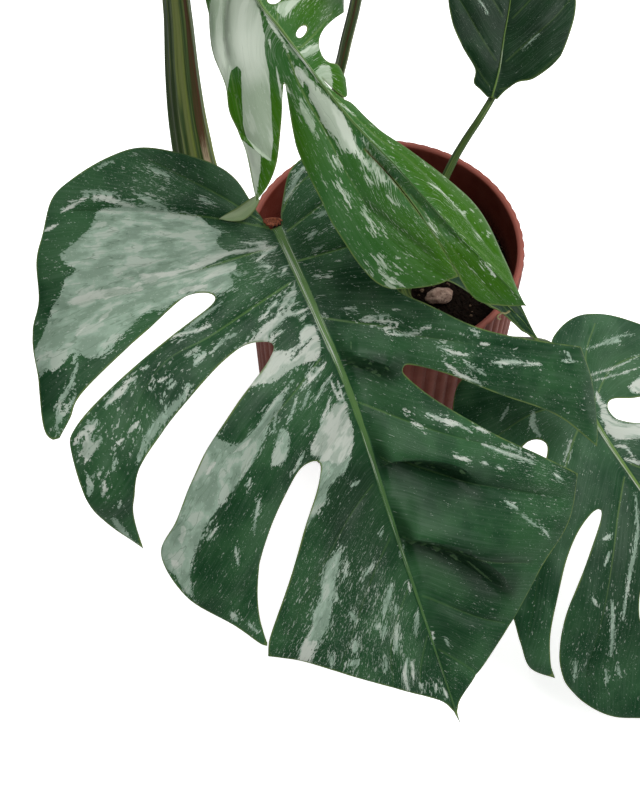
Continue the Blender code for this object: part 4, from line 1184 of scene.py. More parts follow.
def collar_mesh(name, blade):
    """The dried, torn end of the sheath where the front leaf meets its petiole."""
    edge = np.array(COLLAR, float)
    count, middle = len(edge), edge.mean(0)
    points = np.vstack([*(middle + (edge - middle) * share for share in (0.4, 0.8, 1.0)), middle])
    rise = np.r_[np.repeat((1.1, 1.7, 1.3), count), 1.0]
    normal = blade.normal(*points.T)
    faces = []
    for i in range(count):
        j = (i + 1) % count
        faces.append((3 * count, i, j))
        faces += [(ring + i, ring + count + i, ring + count + j, ring + j)
                  for ring in (0, count)]
    return outward(double_sheet(name, blade.place(*points.T) + normal * rise[:, None], normal,
                                1.1, faces, list(range(3 * count - 1, 2 * count - 1, -1)))[0])


def petiole_route(name):
    """The smooth route of a petiole, from inside the stem's side up into its leaf's rib."""
    leaf_name, radii, height, middle = PETIOLES[name]
    leaf = LEAVES[leaf_name]
    blade = Blade(leaf)
    top_radius = radii[-1]
    away = np.array((middle[0][0] - STEM_FOOT[0], middle[0][1] - STEM_FOOT[1], 0.0))
    away /= np.linalg.norm(away)
    foot = np.array((*STEM_FOOT, height)) + away * (STEM_RADIUS + PETIOLE_FOOT_CLEAR)
    joint = np.array([top_radius + 2.0])
    up = blade.frame(joint)[2][0]
    hang = top_radius * math.sin(math.radians(max(0.0, -min(leaf["fold"])))
                                 * blade.flatness(joint)[0])
    depth = max(RIB_DEPTH, BLADE + hang) + PETIOLE_LEAF_CLEAR
    under = blade.place(joint, np.zeros(1), -depth)[0]
    bend = under - up * (top_radius * PETIOLE_TOP_RUN)
    inside = blade.place(joint + 3.0, np.zeros(1), -1.2)[0]
    return [foot - away * 4.0, foot, foot + away * PETIOLE_FOOT_RUN,
            *[np.array(q, float) for q in middle], bend, under, inside]


def srgb(red, green, blue):
    """A screen colour, given 0 to 255, as the light values that shaders use."""
    values = [v / 255.0 for v in (red, green, blue)]
    return tuple(v / 12.92 if v <= 0.04045 else ((v + 0.055) / 1.055) ** 2.4 for v in values)


def arithmetic(operation, turned=False):
    """A method that works out a term and another value in a maths node."""
    def work_out(self, other):
        return self.wires.maths(operation, *((other, self) if turned else (self, other)))
    return work_out


class Term:
    """What a node gives out. Arithmetic with a term adds the nodes that work it out."""

    def __init__(self, wires, socket):
        self.wires = wires
        self.socket = socket

    __add__, __radd__ = arithmetic("ADD"), arithmetic("ADD", True)
    __sub__, __rsub__ = arithmetic("SUBTRACT"), arithmetic("SUBTRACT", True)
    __mul__, __rmul__ = arithmetic("MULTIPLY"), arithmetic("MULTIPLY", True)
    __truediv__ = arithmetic("DIVIDE")

    def __abs__(self):
        return self.wires.maths("ABSOLUTE", self)


class Wiring:
    """Adds nodes to a tree and joins them. A value may be a term, a number or a colour."""

    def __init__(self, tree):
        self.tree = tree

    def node(self, kind, feeds=None, **settings):
        made = self.tree.nodes.new(kind)
        for name, value in settings.items():
            setattr(made, name, value)
        for title, value in (feeds or {}).items():
            self.feed(made.inputs[title], value)
        return made

    def term(self, kind, output=0, feeds=None, **settings):
        return Term(self, self.node(kind, feeds, **settings).outputs[output])

    def terms(self, sockets):
        return {socket.name: Term(self, socket) for socket in sockets}

    def feed(self, socket, value):
        if isinstance(value, Term):
            self.tree.links.new(value.socket, socket)
        elif socket.type == "RGBA" and len(value) == 3:
            socket.default_value = (*value, 1.0)
        else:
            socket.default_value = value

    def maths(self, operation, *values):
        return self.term("ShaderNodeMath", 0, dict(enumerate(values)), operation=operation)

    def scaled(self, vector, factor):
        return self.term("ShaderNodeVectorMath", 0, {0: vector, "Scale": factor},
                         operation="SCALE")

    def join(self, *values):
        return self.term("ShaderNodeCombineXYZ", 0, dict(enumerate(values)))

    def split(self, vector):
        made = self.node("ShaderNodeSeparateXYZ", {0: vector})
        return [Term(self, socket) for socket in made.outputs]

    def ramp(self, value, low, high, start=0.0, end=1.0):
        """A smooth step of a value between two marks."""
        feeds = dict(enumerate((value, low, high, start, end)))
        return self.term("ShaderNodeMapRange", 0, feeds, interpolation_type="SMOOTHSTEP")

    def blend(self, share, first, second):
        """A mix of two colours: all of the first at 0, all of the second at 1."""
        return self.term("ShaderNodeMix", 2, {0: share, 6: first, 7: second}, data_type="RGBA")

    def noise(self, vector, detail=2.0, rough=0.5):
        return self.term("ShaderNodeTexNoise", 0, {"Vector": vector, "Scale": 1.0,
                                                   "Detail": detail, "Roughness": rough})

    def stored(self, geometry, title, value, domain="POINT"):
        """The geometry with a value written in it under a name."""
        feeds = {"Geometry": geometry, "Name": title, "Value": value}
        return self.term("GeometryNodeStoreNamedAttribute", 0, feeds, data_type="FLOAT",
                         domain=domain)


def group_ends(tree):
    """A tree's wiring, its named inputs as terms, and the sockets of its output."""
    w = Wiring(tree)
    return w, w.terms(w.node("NodeGroupInput").outputs), w.node("NodeGroupOutput").inputs


def new_group(name, inputs, outputs):
    """A node group with named sockets: (name, kind, default) going in, (name, kind) out."""
    tree = bpy.data.node_groups.new(name, "ShaderNodeTree")
    kinds = {"value": "NodeSocketFloat", "colour": "NodeSocketColor", "vector": "NodeSocketVector"}
    for title, kind, default in inputs:
        socket = tree.interface.new_socket(title, in_out="INPUT", socket_type=kinds[kind])
        if default is not None:
            socket.default_value = (*default, 1.0) if kind == "colour" else default
    for title, kind in outputs:
        tree.interface.new_socket(title, in_out="OUTPUT", socket_type=kinds[kind])
    return group_ends(tree)


def found_tree(maker, name):
    return bpy.data.node_groups.get(name) or maker(name)


def leaf_pattern(name):
    """Colour of a variegated leaf, drawn along its veins, with its roughness and fine relief."""
    w, given, out = new_group(name, (
        ("Flat", "vector", None), ("Vein", "vector", None), ("Tone", "vector", None),
        ("Gaps", "vector", None), ("Fresh", "value", 0.0), ("Vein Light", "value", 0.4),
        ("Crisp", "value", 0.0), ("Streak", "value", 1.0), ("Rib Width", "value", 4.6),
        ("Tip", "value", 286.0), ("Green", "colour", srgb(42, 77, 44)),
        ("Deep Green", "colour", srgb(18, 54, 24)), ("Fresh Green", "colour", srgb(48, 88, 12)),
        ("Sage", "colour", srgb(122, 141, 124)), ("Ivory", "colour", srgb(188, 195, 184)),
        ("Rib Colour", "colour", srgb(104, 132, 66)),
        ("Margin Colour", "colour", srgb(98, 118, 62)),
        ("Underside", "colour", srgb(92, 124, 84)), ("Freckle Amount", "value", 1.0),
    ), (("Colour", "colour"), ("Roughness", "value"), ("Height", "value")))
    s, t = (part * UV_SCALE for part in w.split(given["Flat"])[:2])
    along, number, _ = w.split(given["Vein"])
    along, across = along * UV_SCALE, number * VEIN_SPACING
    pale_gap, cream_gap, freckles = w.split(given["Tone"])
    vein_gap, edge_gap, under = w.split(given["Gaps"])
    green, deep_green, fresh_green, sage, ivory, rib_colour = (given[title] for title in (
        "Green", "Deep Green", "Fresh Green", "Sage", "Ivory", "Rib Colour"))

    def streaks(length, width, layer, detail, rough):
        """Noise drawn out along the veins; each layer differs from the others."""
        place = w.join(along / length / given["Streak"], across / width, layer)
        return w.noise(place, detail, rough)

    # Frayed pale marks, with green holes in them and flecks beside them
    loose = 1.0 - given["Crisp"] * 0.85
    torn = streaks(6.4, 1.5, 1.3, 6.0, 0.7)
    small = streaks(2.3, 0.62, 8.7, 3.0, 0.62)
    fray = ((torn - 0.5) * 6.5 + (small - 0.5) * 3.0) * loose
    patch = w.ramp(pale_gap + fray, 0.1, -0.12)
    mixed = torn * 0.5 + small * 0.5
    wanted = freckles * given["Freckle Amount"]
    mark = 0.655 - wanted * 0.115 - w.ramp(pale_gap, 4.0, 0.3, 0.0, 0.06)
    fleck = w.ramp(mixed - mark, -0.006, 0.01) * loose
    hole = w.ramp(mixed - w.ramp(pale_gap, -3.5, -0.3, 0.34, 0.43), 0.0, -0.02)
    hole = hole * w.ramp(pale_gap, -4.0, -2.0) * loose
    pale = w.maths("MAXIMUM", patch - hole, fleck)
    broad = streaks(14.0, 3.4, 5.1, 6.0, 0.7)
    soft = w.ramp(given["Crisp"], 0.3, 0.9, 0.4, 6.0)
    cream = w.ramp(cream_gap + (broad - 0.5) * 9.0 * loose, soft, soft * -1.0)
    fine = streaks(1.2, 0.62, 15.2, 3.0, 0.62)
    fine_mark = 0.68 - wanted * 0.13
    speck = w.ramp(fine, fine_mark, fine_mark + 0.06) * loose

    # Greens, the half-pale tone and the fully pale one
    patchy = w.noise(w.join(s / 26.0, t / 26.0, 3.3), 3.0)
    lines = streaks(30.0, 0.9, 31.0, 2.0, 0.6)
    grown_green = w.blend(w.ramp(patchy, 0.35, 0.65), deep_green, green)
    # A Fresh value below zero is painted shade: it darkens the green towards black.
    grown_green = w.blend(w.ramp(given["Fresh"], 0.0, -1.0, 0.0, 0.85), grown_green,
                          w.blend(0.4, deep_green, (0.0, 0.0, 0.0)))
    fresh = w.maths("MAXIMUM", given["Fresh"], 0.0)
    grown_green = w.blend(fresh, grown_green, fresh_green)
    grown_green = w.blend(w.ramp(lines, 0.4, 0.75) * 0.07, grown_green, sage)
    milky = streaks(15.0, 5.2, 41.0, 3.5, 0.55)
    young = w.blend(0.55, sage, fresh_green)
    half_pale = w.blend(fresh * 0.8, sage, young)
    half_pale = w.blend(w.ramp(milky, 0.53, 0.42, 0.0, 0.3), half_pale, grown_green)
    half_pale = w.blend(w.ramp(milky, 0.53, 0.6, 0.0, 0.5), half_pale, ivory)
    bend = w.ramp(abs(streaks(26.0, 3.0, 61.0, 2.0, 0.5) - 0.5), 0.016, 0.002)
    half_pale = w.blend(bend * 0.24, half_pale, grown_green)
    half_pale = w.blend(w.ramp(fine, 0.6, 0.66) * 0.35, half_pale, ivory)
    clouded = w.blend(w.ramp(milky, 0.52, 0.44, 0.0, 0.6) * loose, ivory, half_pale)
    light = w.blend(bend * 0.12, w.blend(cream, half_pale, clouded), grown_green)
    colour = w.blend(speck * 0.4, grown_green, w.blend(0.4, sage, ivory))
    lone = w.blend(w.ramp(pale_gap, 0.3, 3.0, 0.0, 0.5), light, ivory)
    lone = w.blend(fresh * 0.55, lone, w.blend(0.35, ivory, young))
    colour = w.blend(pale * w.ramp(pale_gap, 5.5, 0.0, 0.72, 1.0), colour, lone)

    # Veins, thinner and fainter towards their ends
    faded = w.ramp(along, 10.0, 120.0, 1.0, 0.25)
    vein_half = faded * 0.8
    vein = w.ramp(vein_gap, vein_half, vein_half * 0.25) * (faded * given["Vein Light"])
    colour = w.blend(vein, colour, w.blend(pale, rib_colour, ivory))

    # Midrib, with painted shade in the groove on each side and pale fibres along it
    off = abs(t)
    share = w.maths("MAXIMUM", 1.05 - s / given["Tip"], 0.2)
    wobble = w.noise(w.join(s / 9.0, 0.0, 7.0))
    rib_half = share * (given["Rib Width"] * 0.5) * (0.75 + wobble * 0.5)
    start = w.ramp(s, -2.5, 0.5)
    rib = w.ramp(off, rib_half, rib_half * 0.72) * start
    groove = w.ramp(abs(off - rib_half * 1.25), rib_half * 0.4, 0.0)
    # Painted shade: the grooves beside the midrib are drawn darker, towards Deep Green.
    colour = w.blend(groove * start * 0.3, colour, deep_green)
    fibre = w.noise(w.join(s / 40.0, t / 0.42, 2.0), 3.0)
    rib_tone = w.blend(w.ramp(fibre, 0.38, 0.62), rib_colour, w.blend(0.45, rib_colour, green))
    rib_tone = w.blend(w.ramp(s, 30.0, 190.0, 0.0, 0.5), rib_tone, green)
    striped = fibre + w.ramp(s, 95.0, 50.0, -0.02, 0.05) - w.ramp(s, 16.0, 2.0, 0.0, 0.08)
    striped = striped - w.ramp(t, -0.6, 0.6, 0.0, 0.1)
    striped = striped - w.ramp(off, rib_half * 0.5, rib_half, 0.0, 0.06)
    rib_tone = w.blend(w.ramp(striped, 0.53, 0.6, 0.0, 0.9), rib_tone, ivory)
    colour = w.blend(rib, colour, rib_tone)

    # Thin edge and lower side
    worn = w.ramp(w.noise(w.join(s / 12.0, t / 12.0, 9.0)), 0.35, 0.6, 0.25, 0.9)
    colour = w.blend(w.ramp(edge_gap, 0.9, 0.3) * worn, colour, given["Margin Colour"])
    colour = w.blend(under * 0.6, colour, w.blend(pale * 0.6, given["Underside"], ivory))
    w.feed(out["Colour"], colour)
    w.feed(out["Roughness"], 0.34 + torn * 0.16 + pale * 0.06 + under * 0.18)
    height = lines * 0.25 + streaks(2.2, 1.1, 50.0, 2.0, 0.5) * 0.35 - vein * 0.7
    w.feed(out["Height"], height + rib * (fibre * 0.6) - bend * 0.5)
    return w.tree


def grain_pattern(name):
    """Small-scale unevenness in Object coordinates: two shades and a height."""
    w, given, out = new_group(name, (
        ("Vector", "vector", None), ("Size", "value", 2.0), ("Blotch Size", "value", 20.0),
    ), (("Fine", "value"), ("Blotch", "value"), ("Height", "value")))
    axes = w.split(w.scaled(given["Vector"], 1.0 / MM))

    def at(size):
        return w.join(*(axis / size for axis in axes))

    fine = w.noise(at(given["Size"]), 5.0, 0.65)
    blotch = w.noise(at(given["Blotch Size"]), 4.0, 0.6)
    w.feed(out["Fine"], w.ramp(fine, 0.3, 0.7))
    w.feed(out["Blotch"], w.ramp(blotch, 0.35, 0.65))
    w.feed(out["Height"], fine + blotch * 0.5)
    return w.tree


def stalk_pattern(name):
    """Long stripes and fibres of a stalk, from its place around and along it."""
    w, given, out = new_group(name, (
        ("Around", "value", 0.0), ("Along", "value", 0.0), ("Stripes", "value", 9.0),
        ("Body", "colour", srgb(78, 100, 56)), ("Dark", "colour", srgb(44, 66, 34)),
        ("Light", "colour", srgb(128, 142, 72)), ("Dry", "colour", srgb(110, 76, 50)),
        ("Dry Light", "colour", srgb(168, 150, 122)), ("Dry Place", "value", 0.5),
        ("Dry Width", "value", 0.0), ("Bright Place", "value", 0.5),
        ("Bright Width", "value", 0.0), ("Freckles", "value", 0.3),
    ), (("Colour", "colour"), ("Height", "value"), ("Dryness", "value")))
    body, dark, light, dry_colour = (given[title] for title in ("Body", "Dark", "Light", "Dry"))
    turn = given["Around"] * (2 * math.pi)
    x, y = w.maths("COSINE", turn), w.maths("SINE", turn)
    length = given["Along"] * (1.0 / MM)

    def stripes(count, run, layer, detail=2.0):
        """Noise drawn out along the stalk; each layer differs from the others."""
        scale = given["Stripes"] * count
        return w.noise(w.join(x * scale, y * scale, length / run + layer), detail, 0.55)

    broad = stripes(0.22, 160.0, 4.0)
    narrow = stripes(0.9, 60.0, 9.0)
    fleck = stripes(1.6, 7.0, 15.0, 4.0)
    colour = w.blend(w.ramp(broad, 0.38, 0.6), dark, body)
    colour = w.blend(w.ramp(broad, 0.58, 0.68, 0.0, 0.85), colour, light)
    colour = w.blend(w.ramp(narrow, 0.5, 0.7, 0.0, 0.5), colour, light)
    colour = w.blend(w.ramp(narrow, 0.45, 0.3, 0.0, 0.5), colour, dark)
    colour = w.blend(w.ramp(fleck, 0.66, 0.7) * given["Freckles"], colour, light)
    from_bright = abs(given["Around"] - given["Bright Place"]) + narrow * 0.02
    bright = w.ramp(from_bright, given["Bright Width"], given["Bright Width"] * 0.6)
    colour = w.blend(bright * 0.8, colour, light)
    from_dry = abs(given["Around"] - given["Dry Place"]) + (narrow - 0.5) * 0.06
    dry = w.ramp(from_dry, given["Dry Width"], given["Dry Width"] * 0.6)
    dry_tone = w.blend(w.ramp(narrow, 0.35, 0.65), dry_colour, w.blend(0.5, dry_colour, dark))
    dry_tone = w.blend(w.ramp(length + fleck * 30.0, 190.0, 170.0), dry_tone, given["Dry Light"])
    w.feed(out["Colour"], w.blend(dry, colour, dry_tone))
    w.feed(out["Height"], narrow + broad * 0.6)
    w.feed(out["Dryness"], dry)
    return w.tree


def new_finish(name):
    """An empty material, its wiring and its shader's sockets."""
    finish = bpy.data.materials.new(name)
    finish.use_nodes = True
    return finish, Wiring(finish.node_tree), finish.node_tree.nodes["Principled BSDF"].inputs


def placed(w, maker, title, **values):
    """A node group in a material, fed by its input names (spaces written as underscores)."""
    feeds = {name.replace("_", " "): value for name, value in values.items()}
    return w.terms(w.node("ShaderNodeGroup", feeds, node_tree=found_tree(maker, title)).outputs)


def coated(w, sockets, colour, roughness, shine, height, strength, depth):
    """Wires a colour, a roughness, an amount of shine and a relief of a depth in metres."""
    feeds = {"Strength": strength, "Distance": depth, "Height": height}
    for title, value in (("Base Color", colour), ("Roughness", roughness),
                         ("Specular IOR Level", shine),
                         ("Normal", w.term("ShaderNodeBump", 0, feeds))):
        w.feed(sockets[title], value)


def leaf_finish(name, leaf, colours, **changes):
    finish, w, sockets = new_finish(name)
    flat, vein = (w.term("ShaderNodeUVMap", uv_map=title) for title in ("flat", "vein"))
    tone, gaps, tint_and_shade = (w.term("ShaderNodeAttribute", "Vector", attribute_name=title)
                        for title in ("tone", "gaps", "tint_and_shade"))
    fresh, vein_light, crisp = w.split(tint_and_shade)
    values = dict(Flat=flat, Vein=vein, Tone=tone, Gaps=gaps, Fresh=fresh, Vein_Light=vein_light,
                  Crisp=crisp, Rib_Width=leaf["rib"], Tip=tip_of(leaf), Green=colours.green,
                  Deep_Green=colours.deep_green, Fresh_Green=colours.fresh_green,
                  Sage=colours.sage, Ivory=colours.ivory, Rib_Colour=colours.rib,
                  Margin_Colour=colours.margin, Underside=colours.underside,
                  Freckle_Amount=colours.freckles)
    made = placed(w, leaf_pattern, "Leaf Pattern", **{**values, **changes})
    coated(w, sockets, made["Colour"], made["Roughness"], 0.15, made["Height"], 0.3, 0.0004)
    return finish


def stalk_finish(name, **values):
    finish, w, sockets = new_finish(name)
    around, along = (w.term("ShaderNodeAttribute", "Fac", attribute_name=title)
                     for title in ("around", "along"))
    made = placed(w, stalk_pattern, "Stalk Stripes", Around=around, Along=along, **values)
    roughness = w.ramp(made["Dryness"], 0.0, 1.0, 0.42, 0.8)
    coated(w, sockets, made["Colour"], roughness, 0.2, made["Height"], 0.5, 0.0006)
    return finish


def grained_finish(name, size, blotch_size):
    """A new material with its grain: also its wiring, its sockets and the place on the object."""
    finish, w, sockets = new_finish(name)
    place = w.term("ShaderNodeTexCoord", "Object")
    grain = placed(w, grain_pattern, "Grain", Vector=place, Size=size, Blotch_Size=blotch_size)
    return finish, w, sockets, place, grain


def pot_finish(colours):
    """Matt moulded plastic: paler blotches and flute crests, a painted highlight on the lip,
    painted shade on the inner wall and soil splashed inside.
    """
    finish, w, sockets, place, grain = grained_finish("pot plastic", 1.4, 24.0)
    x, y, z = w.split(place)
    radius = w.maths("SQRT", x * x + y * y)
    colour = w.blend(grain["Blotch"] * 0.35, colours.wall, colours.lip)
    colour = w.blend(grain["Fine"] * 0.12, colour, colours.lip)
    # Painted highlight: the top of the lip is drawn towards the lip colour.
    worn = w.ramp(z, (POT_HEIGHT - 1.6) * MM, POT_HEIGHT * MM)
    colour = w.blend(worn * 0.8, colour, colours.lip)
    inward = z * POT_SLOPE + POT_BASE_RADIUS * MM - radius
    colour = w.blend(w.ramp(inward, 0.0006, 0.0) * 0.28, colour, colours.lip)
    inside = w.ramp(inward, 0.0028, 0.0036)
    low = w.ramp(z, (SOIL_TOP + 14.0) * MM, (SOIL_TOP + 1.0) * MM)
    splash = w.ramp(grain["Height"], 0.62, 0.86) * (low * inside)
    # Painted shade: the inner wall is drawn darker, towards the inside colour.
    colour = w.blend(inside * 0.35, colour, colours.inside)
    colour = w.blend(splash * 0.8, colour, srgb(46, 32, 26))
    roughness = w.ramp(grain["Fine"], 0.0, 1.0, 0.46, 0.62)
    coated(w, sockets, colour, roughness, 0.15, grain["Height"], 0.25, 0.0003)
    return finish


def dried_finish(name, light, dark):
    """Dry, papery plant skin."""
    finish, w, sockets, _, grain = grained_finish(name, 0.9, 3.0)
    colour = w.blend(grain["Fine"], dark, light)
    coated(w, sockets, colour, 0.8, PLAIN_SHINE, grain["Height"], 0.6, 0.0005)
    return finish


def soil_finish(colours):
    """Dark peat with browner and paler crumbs; each scattered crumb carries its own tone."""
    finish, w, sockets, _, grain = grained_finish("potting mix", 1.1, 9.0)
    crumb = w.term("ShaderNodeAttribute", "Fac", attribute_name="crumb")
    colour = w.blend(grain["Fine"], colours.dark, colours.brown)
    colour = w.blend(w.ramp(crumb, 0.35, 0.95, 0.0, 0.85), colour, colours.brown)
    colour = w.blend(w.ramp(crumb, 0.90, 0.97, 0.0, 0.9), colour, colours.pale)
    roughness = w.ramp(grain["Blotch"], 0.0, 1.0, 0.75, 0.95)
    coated(w, sockets, colour, roughness, 0.06, grain["Height"], 0.9, 0.0012)
    return finish


def bark_finish(colours):
    """Weathered bark: layered tan and brown with dark pits."""
    finish, w, sockets, _, grain = grained_finish("weathered bark", 1.6, 6.0)
    colour = w.blend(grain["Blotch"], colours.bark, colours.bark_light)
    colour = w.blend(w.ramp(grain["Fine"], 0.35, 0.05, 0.0, 0.8), colour, srgb(70, 48, 36))
    coated(w, sockets, colour, 0.85, PLAIN_SHINE, grain["Height"], 0.8, 0.001)
    return finish


def new_geometry_tree(name, inputs):
    """A geometry tree with named inputs: (name, socket kind, default)."""
    tree = bpy.data.node_groups.new(name, "GeometryNodeTree")
    for title, kind, default in (("Geometry", "Geometry", None), *inputs):
        socket = tree.interface.new_socket(title, in_out="INPUT", socket_type="NodeSocket" + kind)
        if default is not None:
            socket.default_value = default
    tree.interface.new_socket("Geometry", in_out="OUTPUT", socket_type="NodeSocketGeometry")
    return group_ends(tree)


def grown(source, maker, title, name, **values):
    """The mesh that a geometry tree makes of an object; the object itself is thrown away."""
    tree = found_tree(maker, title)
    modifier = source.modifiers.new(tree.name, "NODES")
    modifier.node_group = tree
    sockets = {item.name: item.identifier for item in tree.interface.items_tree
               if item.item_type == "SOCKET" and item.in_out == "INPUT"}
    for socket, value in values.items():
        modifier[sockets[socket.replace("_", " ")]] = value
    source.update_tag()
    graph = bpy.context.evaluated_depsgraph_get()
    mesh = bpy.data.meshes.new_from_object(source.evaluated_get(graph), depsgraph=graph,
                                           preserve_all_data_layers=True)
    if len(mesh.polygons) == 0:
        raise RuntimeError(f"{tree.name} made nothing for {name}")
    source.modifiers.remove(modifier)
    data = source.data
    bpy.data.objects.remove(source, do_unlink=True)
    if isinstance(data, bpy.types.Curve):
        bpy.data.curves.remove(data)
    mesh.name = name
    return mesh


def finish_tree(w, geometry, material, out):
    """Ends a tree: what it made becomes one real mesh in its material."""
    real = w.term("GeometryNodeRealizeInstances", 0, {"Geometry": geometry})
    w.feed(out["Geometry"], w.term("GeometryNodeSetMaterial", 0,
                                   {"Geometry": real, "Material": material}))
    return w.tree


def pot_tree(name):
    """Turns a profile into a fluted pot. A profile point holds radius, flute share and height."""
    w, given, out = new_geometry_tree(name, (
        ("Flutes", "Int", FLUTES), ("Points per Flute", "Int", 8),
        ("Flute Depth", "Float", FLUTE_DEPTH * MM), ("Drain Radius", "Float", DRAIN_RADIUS * MM),
        ("Drain Circle", "Float", DRAIN_CIRCLE * MM), ("Drain Holes", "Int", DRAIN_HOLES),
        ("Floor", "Float", POT_FLOOR * MM), ("Material", "Material", None)))
    profile = given["Geometry"]
    count = w.term("GeometryNodeAttributeDomainSize", "Point Count", {0: profile},
                   component="MESH")
    grid = w.term("GeometryNodeMeshGrid", "Mesh", {
        "Size X": 1.0, "Size Y": 1.0, "Vertices Y": count,
        "Vertices X": given["Flutes"] * given["Points per Flute"] + 1.0})
    place = w.term("GeometryNodeInputPosition")
    u, v, _ = w.split(place)
    angle = (u + 0.5) * (2 * math.pi)
    row = w.maths("ROUND", (v + 0.5) * (count - 1.0))
    radius, fluting, height = w.split(w.term(
        "GeometryNodeSampleIndex", 0, {"Geometry": profile, "Value": place, "Index": row},
        data_type="FLOAT_VECTOR"))
    groove = 1.0 - abs(w.maths("COSINE", angle * (given["Flutes"] * 0.5)))
    reach = radius - given["Flute Depth"] * fluting * groove
    shaped = w.term("GeometryNodeSetPosition", 0, {"Geometry": grid, "Position": w.join(
        reach * w.maths("COSINE", angle), reach * w.maths("SINE", angle), height)})
    merged = w.term("GeometryNodeMergeByDistance", 0, {"Geometry": shaped, "Distance": 0.00001})
    ring = w.term("GeometryNodeMeshCircle", 0, {"Vertices": given["Drain Holes"],
                                                "Radius": given["Drain Circle"]})
    drill = w.term("GeometryNodeMeshCylinder", "Mesh", {
        "Vertices": 32, "Radius": given["Drain Radius"], "Depth": given["Floor"] * 4.0})
    drills = w.term("GeometryNodeInstanceOnPoints", 0, {"Points": ring, "Instance": drill})
    loose = w.term("GeometryNodeRealizeInstances", 0, {"Geometry": drills})
    cut = w.term("GeometryNodeMeshBoolean", "Mesh", {"Mesh 1": merged, "Mesh 2": loose},
                 operation="DIFFERENCE", solver="EXACT")
    return finish_tree(w, cut, given["Material"], out)


def crumb_tree(name):
    """Scatters uneven crumbs over the level part of a soil mesh and keeps the mesh itself."""
    w, given, out = new_geometry_tree(name, (
        ("Crumbs", "Float", 150000.0), ("Crumb Size", "Float", 0.0011),
        ("Fibres", "Float", 30000.0), ("Level", "Float", 0.11), ("Seed", "Int", SEED),
        ("Material", "Material", None)))
    up, high = (w.split(w.term(kind))[2]
                for kind in ("GeometryNodeInputNormal", "GeometryNodeInputPosition"))
    top = w.term("FunctionNodeBooleanMath", 0, {
        0: w.maths("GREATER_THAN", up, 0.4),
        1: w.maths("GREATER_THAN", high, given["Level"])}, operation="AND")
    joined = w.node("GeometryNodeJoinGeometry", {0: given["Geometry"]})

    def between(low, high, seed):
        return w.term("FunctionNodeRandomValue", 0, {0: low, 1: high, "Seed": seed},
                      data_type="FLOAT_VECTOR")

    for title, small, large, shift in (("Crumbs", (0.5, 0.45, 0.4), (1.7, 1.4, 1.2), 1),
                                       ("Fibres", (1.6, 0.3, 0.2), (4.2, 0.6, 0.4), 5)):
        spots_on_top = w.term("GeometryNodeDistributePointsOnFaces", "Points", {
            "Mesh": given["Geometry"], "Selection": top, "Density": given[title],
            "Seed": given["Seed"] + float(shift)})
        ball = w.term("GeometryNodeMeshIcoSphere", "Mesh", {"Radius": given["Crumb Size"],
                                                            "Subdivisions": 1})
        spin = between((-0.5, -0.5, 0.0), (0.5, 0.5, 2 * math.pi), shift + 2)
        laid = w.term("GeometryNodeInstanceOnPoints", 0, {
            "Points": spots_on_top, "Instance": ball,
            "Rotation": w.term("FunctionNodeEulerToRotation", 0, {0: spin}),
            "Scale": between(small, large, shift + 1)})
        tone = w.term("FunctionNodeRandomValue", 1, {"Seed": shift + 3}, data_type="FLOAT")
        w.feed(joined.inputs[0], w.stored(laid, "crumb", tone, "INSTANCE"))
    return finish_tree(w, Term(w, joined.outputs[0]), given["Material"], out)


def stalk_tree(name):
    """Skins a curve as a stalk: ribs and a channel round it, wings that fade along it."""
    w, given, out = new_geometry_tree(name, (
        ("Sides", "Int", 40), ("Ribs", "Int", 11), ("Rib Height", "Float", 0.03),
        ("Channel", "Float", 0.12), ("Wing Height", "Float", 0.0), ("Wing End", "Float", 0.1),
        ("Material", "Material", None)))
    circle = w.term("GeometryNodeCurvePrimitiveCircle", "Curve", {
        "Resolution": given["Sides"], "Radius": 1.0}, mode="RADIUS")
    circle = w.stored(circle, "around", w.term("GeometryNodeSplineParameter", "Factor"))
    radius = w.term("GeometryNodeInputRadius")
    path = w.stored(given["Geometry"], "along", w.term("GeometryNodeSplineParameter", "Length"))
    path = w.stored(path, "wide", radius)
    skin = w.term("GeometryNodeCurveToMesh", 0, {
        "Curve": path, "Profile Curve": circle, "Scale": radius, "Fill Caps": True})
    around, along, wide = (w.term("GeometryNodeInputNamedAttribute", 0, {"Name": title},
                                  data_type="FLOAT") for title in ("around", "along", "wide"))

    def peak(place, width):
        return w.ramp(abs(around - place), width, 0.0)

    lift = w.maths("COSINE", around * (given["Ribs"] * (2 * math.pi))) * given["Rib Height"]
    lift = lift - peak(0.5, 0.11) * given["Channel"]
    fade = w.ramp(along, given["Wing End"], given["Wing End"] * 0.55)
    wings = peak(0.37, 0.05) + peak(0.63, 0.05)
    lift = lift + wings * fade * given["Wing Height"]
    offset = w.scaled(w.term("GeometryNodeInputNormal"), lift * wide)
    moved = w.term("GeometryNodeSetPosition", 0, {"Geometry": skin, "Offset": offset})
    return finish_tree(w, moved, given["Material"], out)


def path_object(name, points, radii):
    """A plain curve along points, with a radius at each; both in millimetres."""
    curve = bpy.data.curves.new(name, "CURVE")
    curve.dimensions = "3D"
    spline = curve.splines.new("POLY")
    spline.points.add(len(points) - 1)
    for mark, point, radius in zip(spline.points, points, radii):
        mark.co = (*(np.asarray(point) * MM), 1.0)
        mark.radius = radius * MM
    piece = bpy.data.objects.new(name, curve)
    bpy.context.scene.collection.objects.link(piece)
    return piece


def stalk_mesh(name, points, radii, finish, **values):
    source = path_object(name, points, radii)
    return outward(grown(source, stalk_tree, "Stalk", name, Material=finish, **values))


def colour_choice(name, description, red, green, blue):
    return FloatVectorProperty(name=name, description=description, default=srgb(red, green, blue),
                               size=3, min=0.0, max=1.0, subtype="COLOR")


def length_choice(name, description, millimetres):
    return FloatProperty(name=name, description=description, default=millimetres * MM, min=0.0,
                         unit="LENGTH", precision=4)


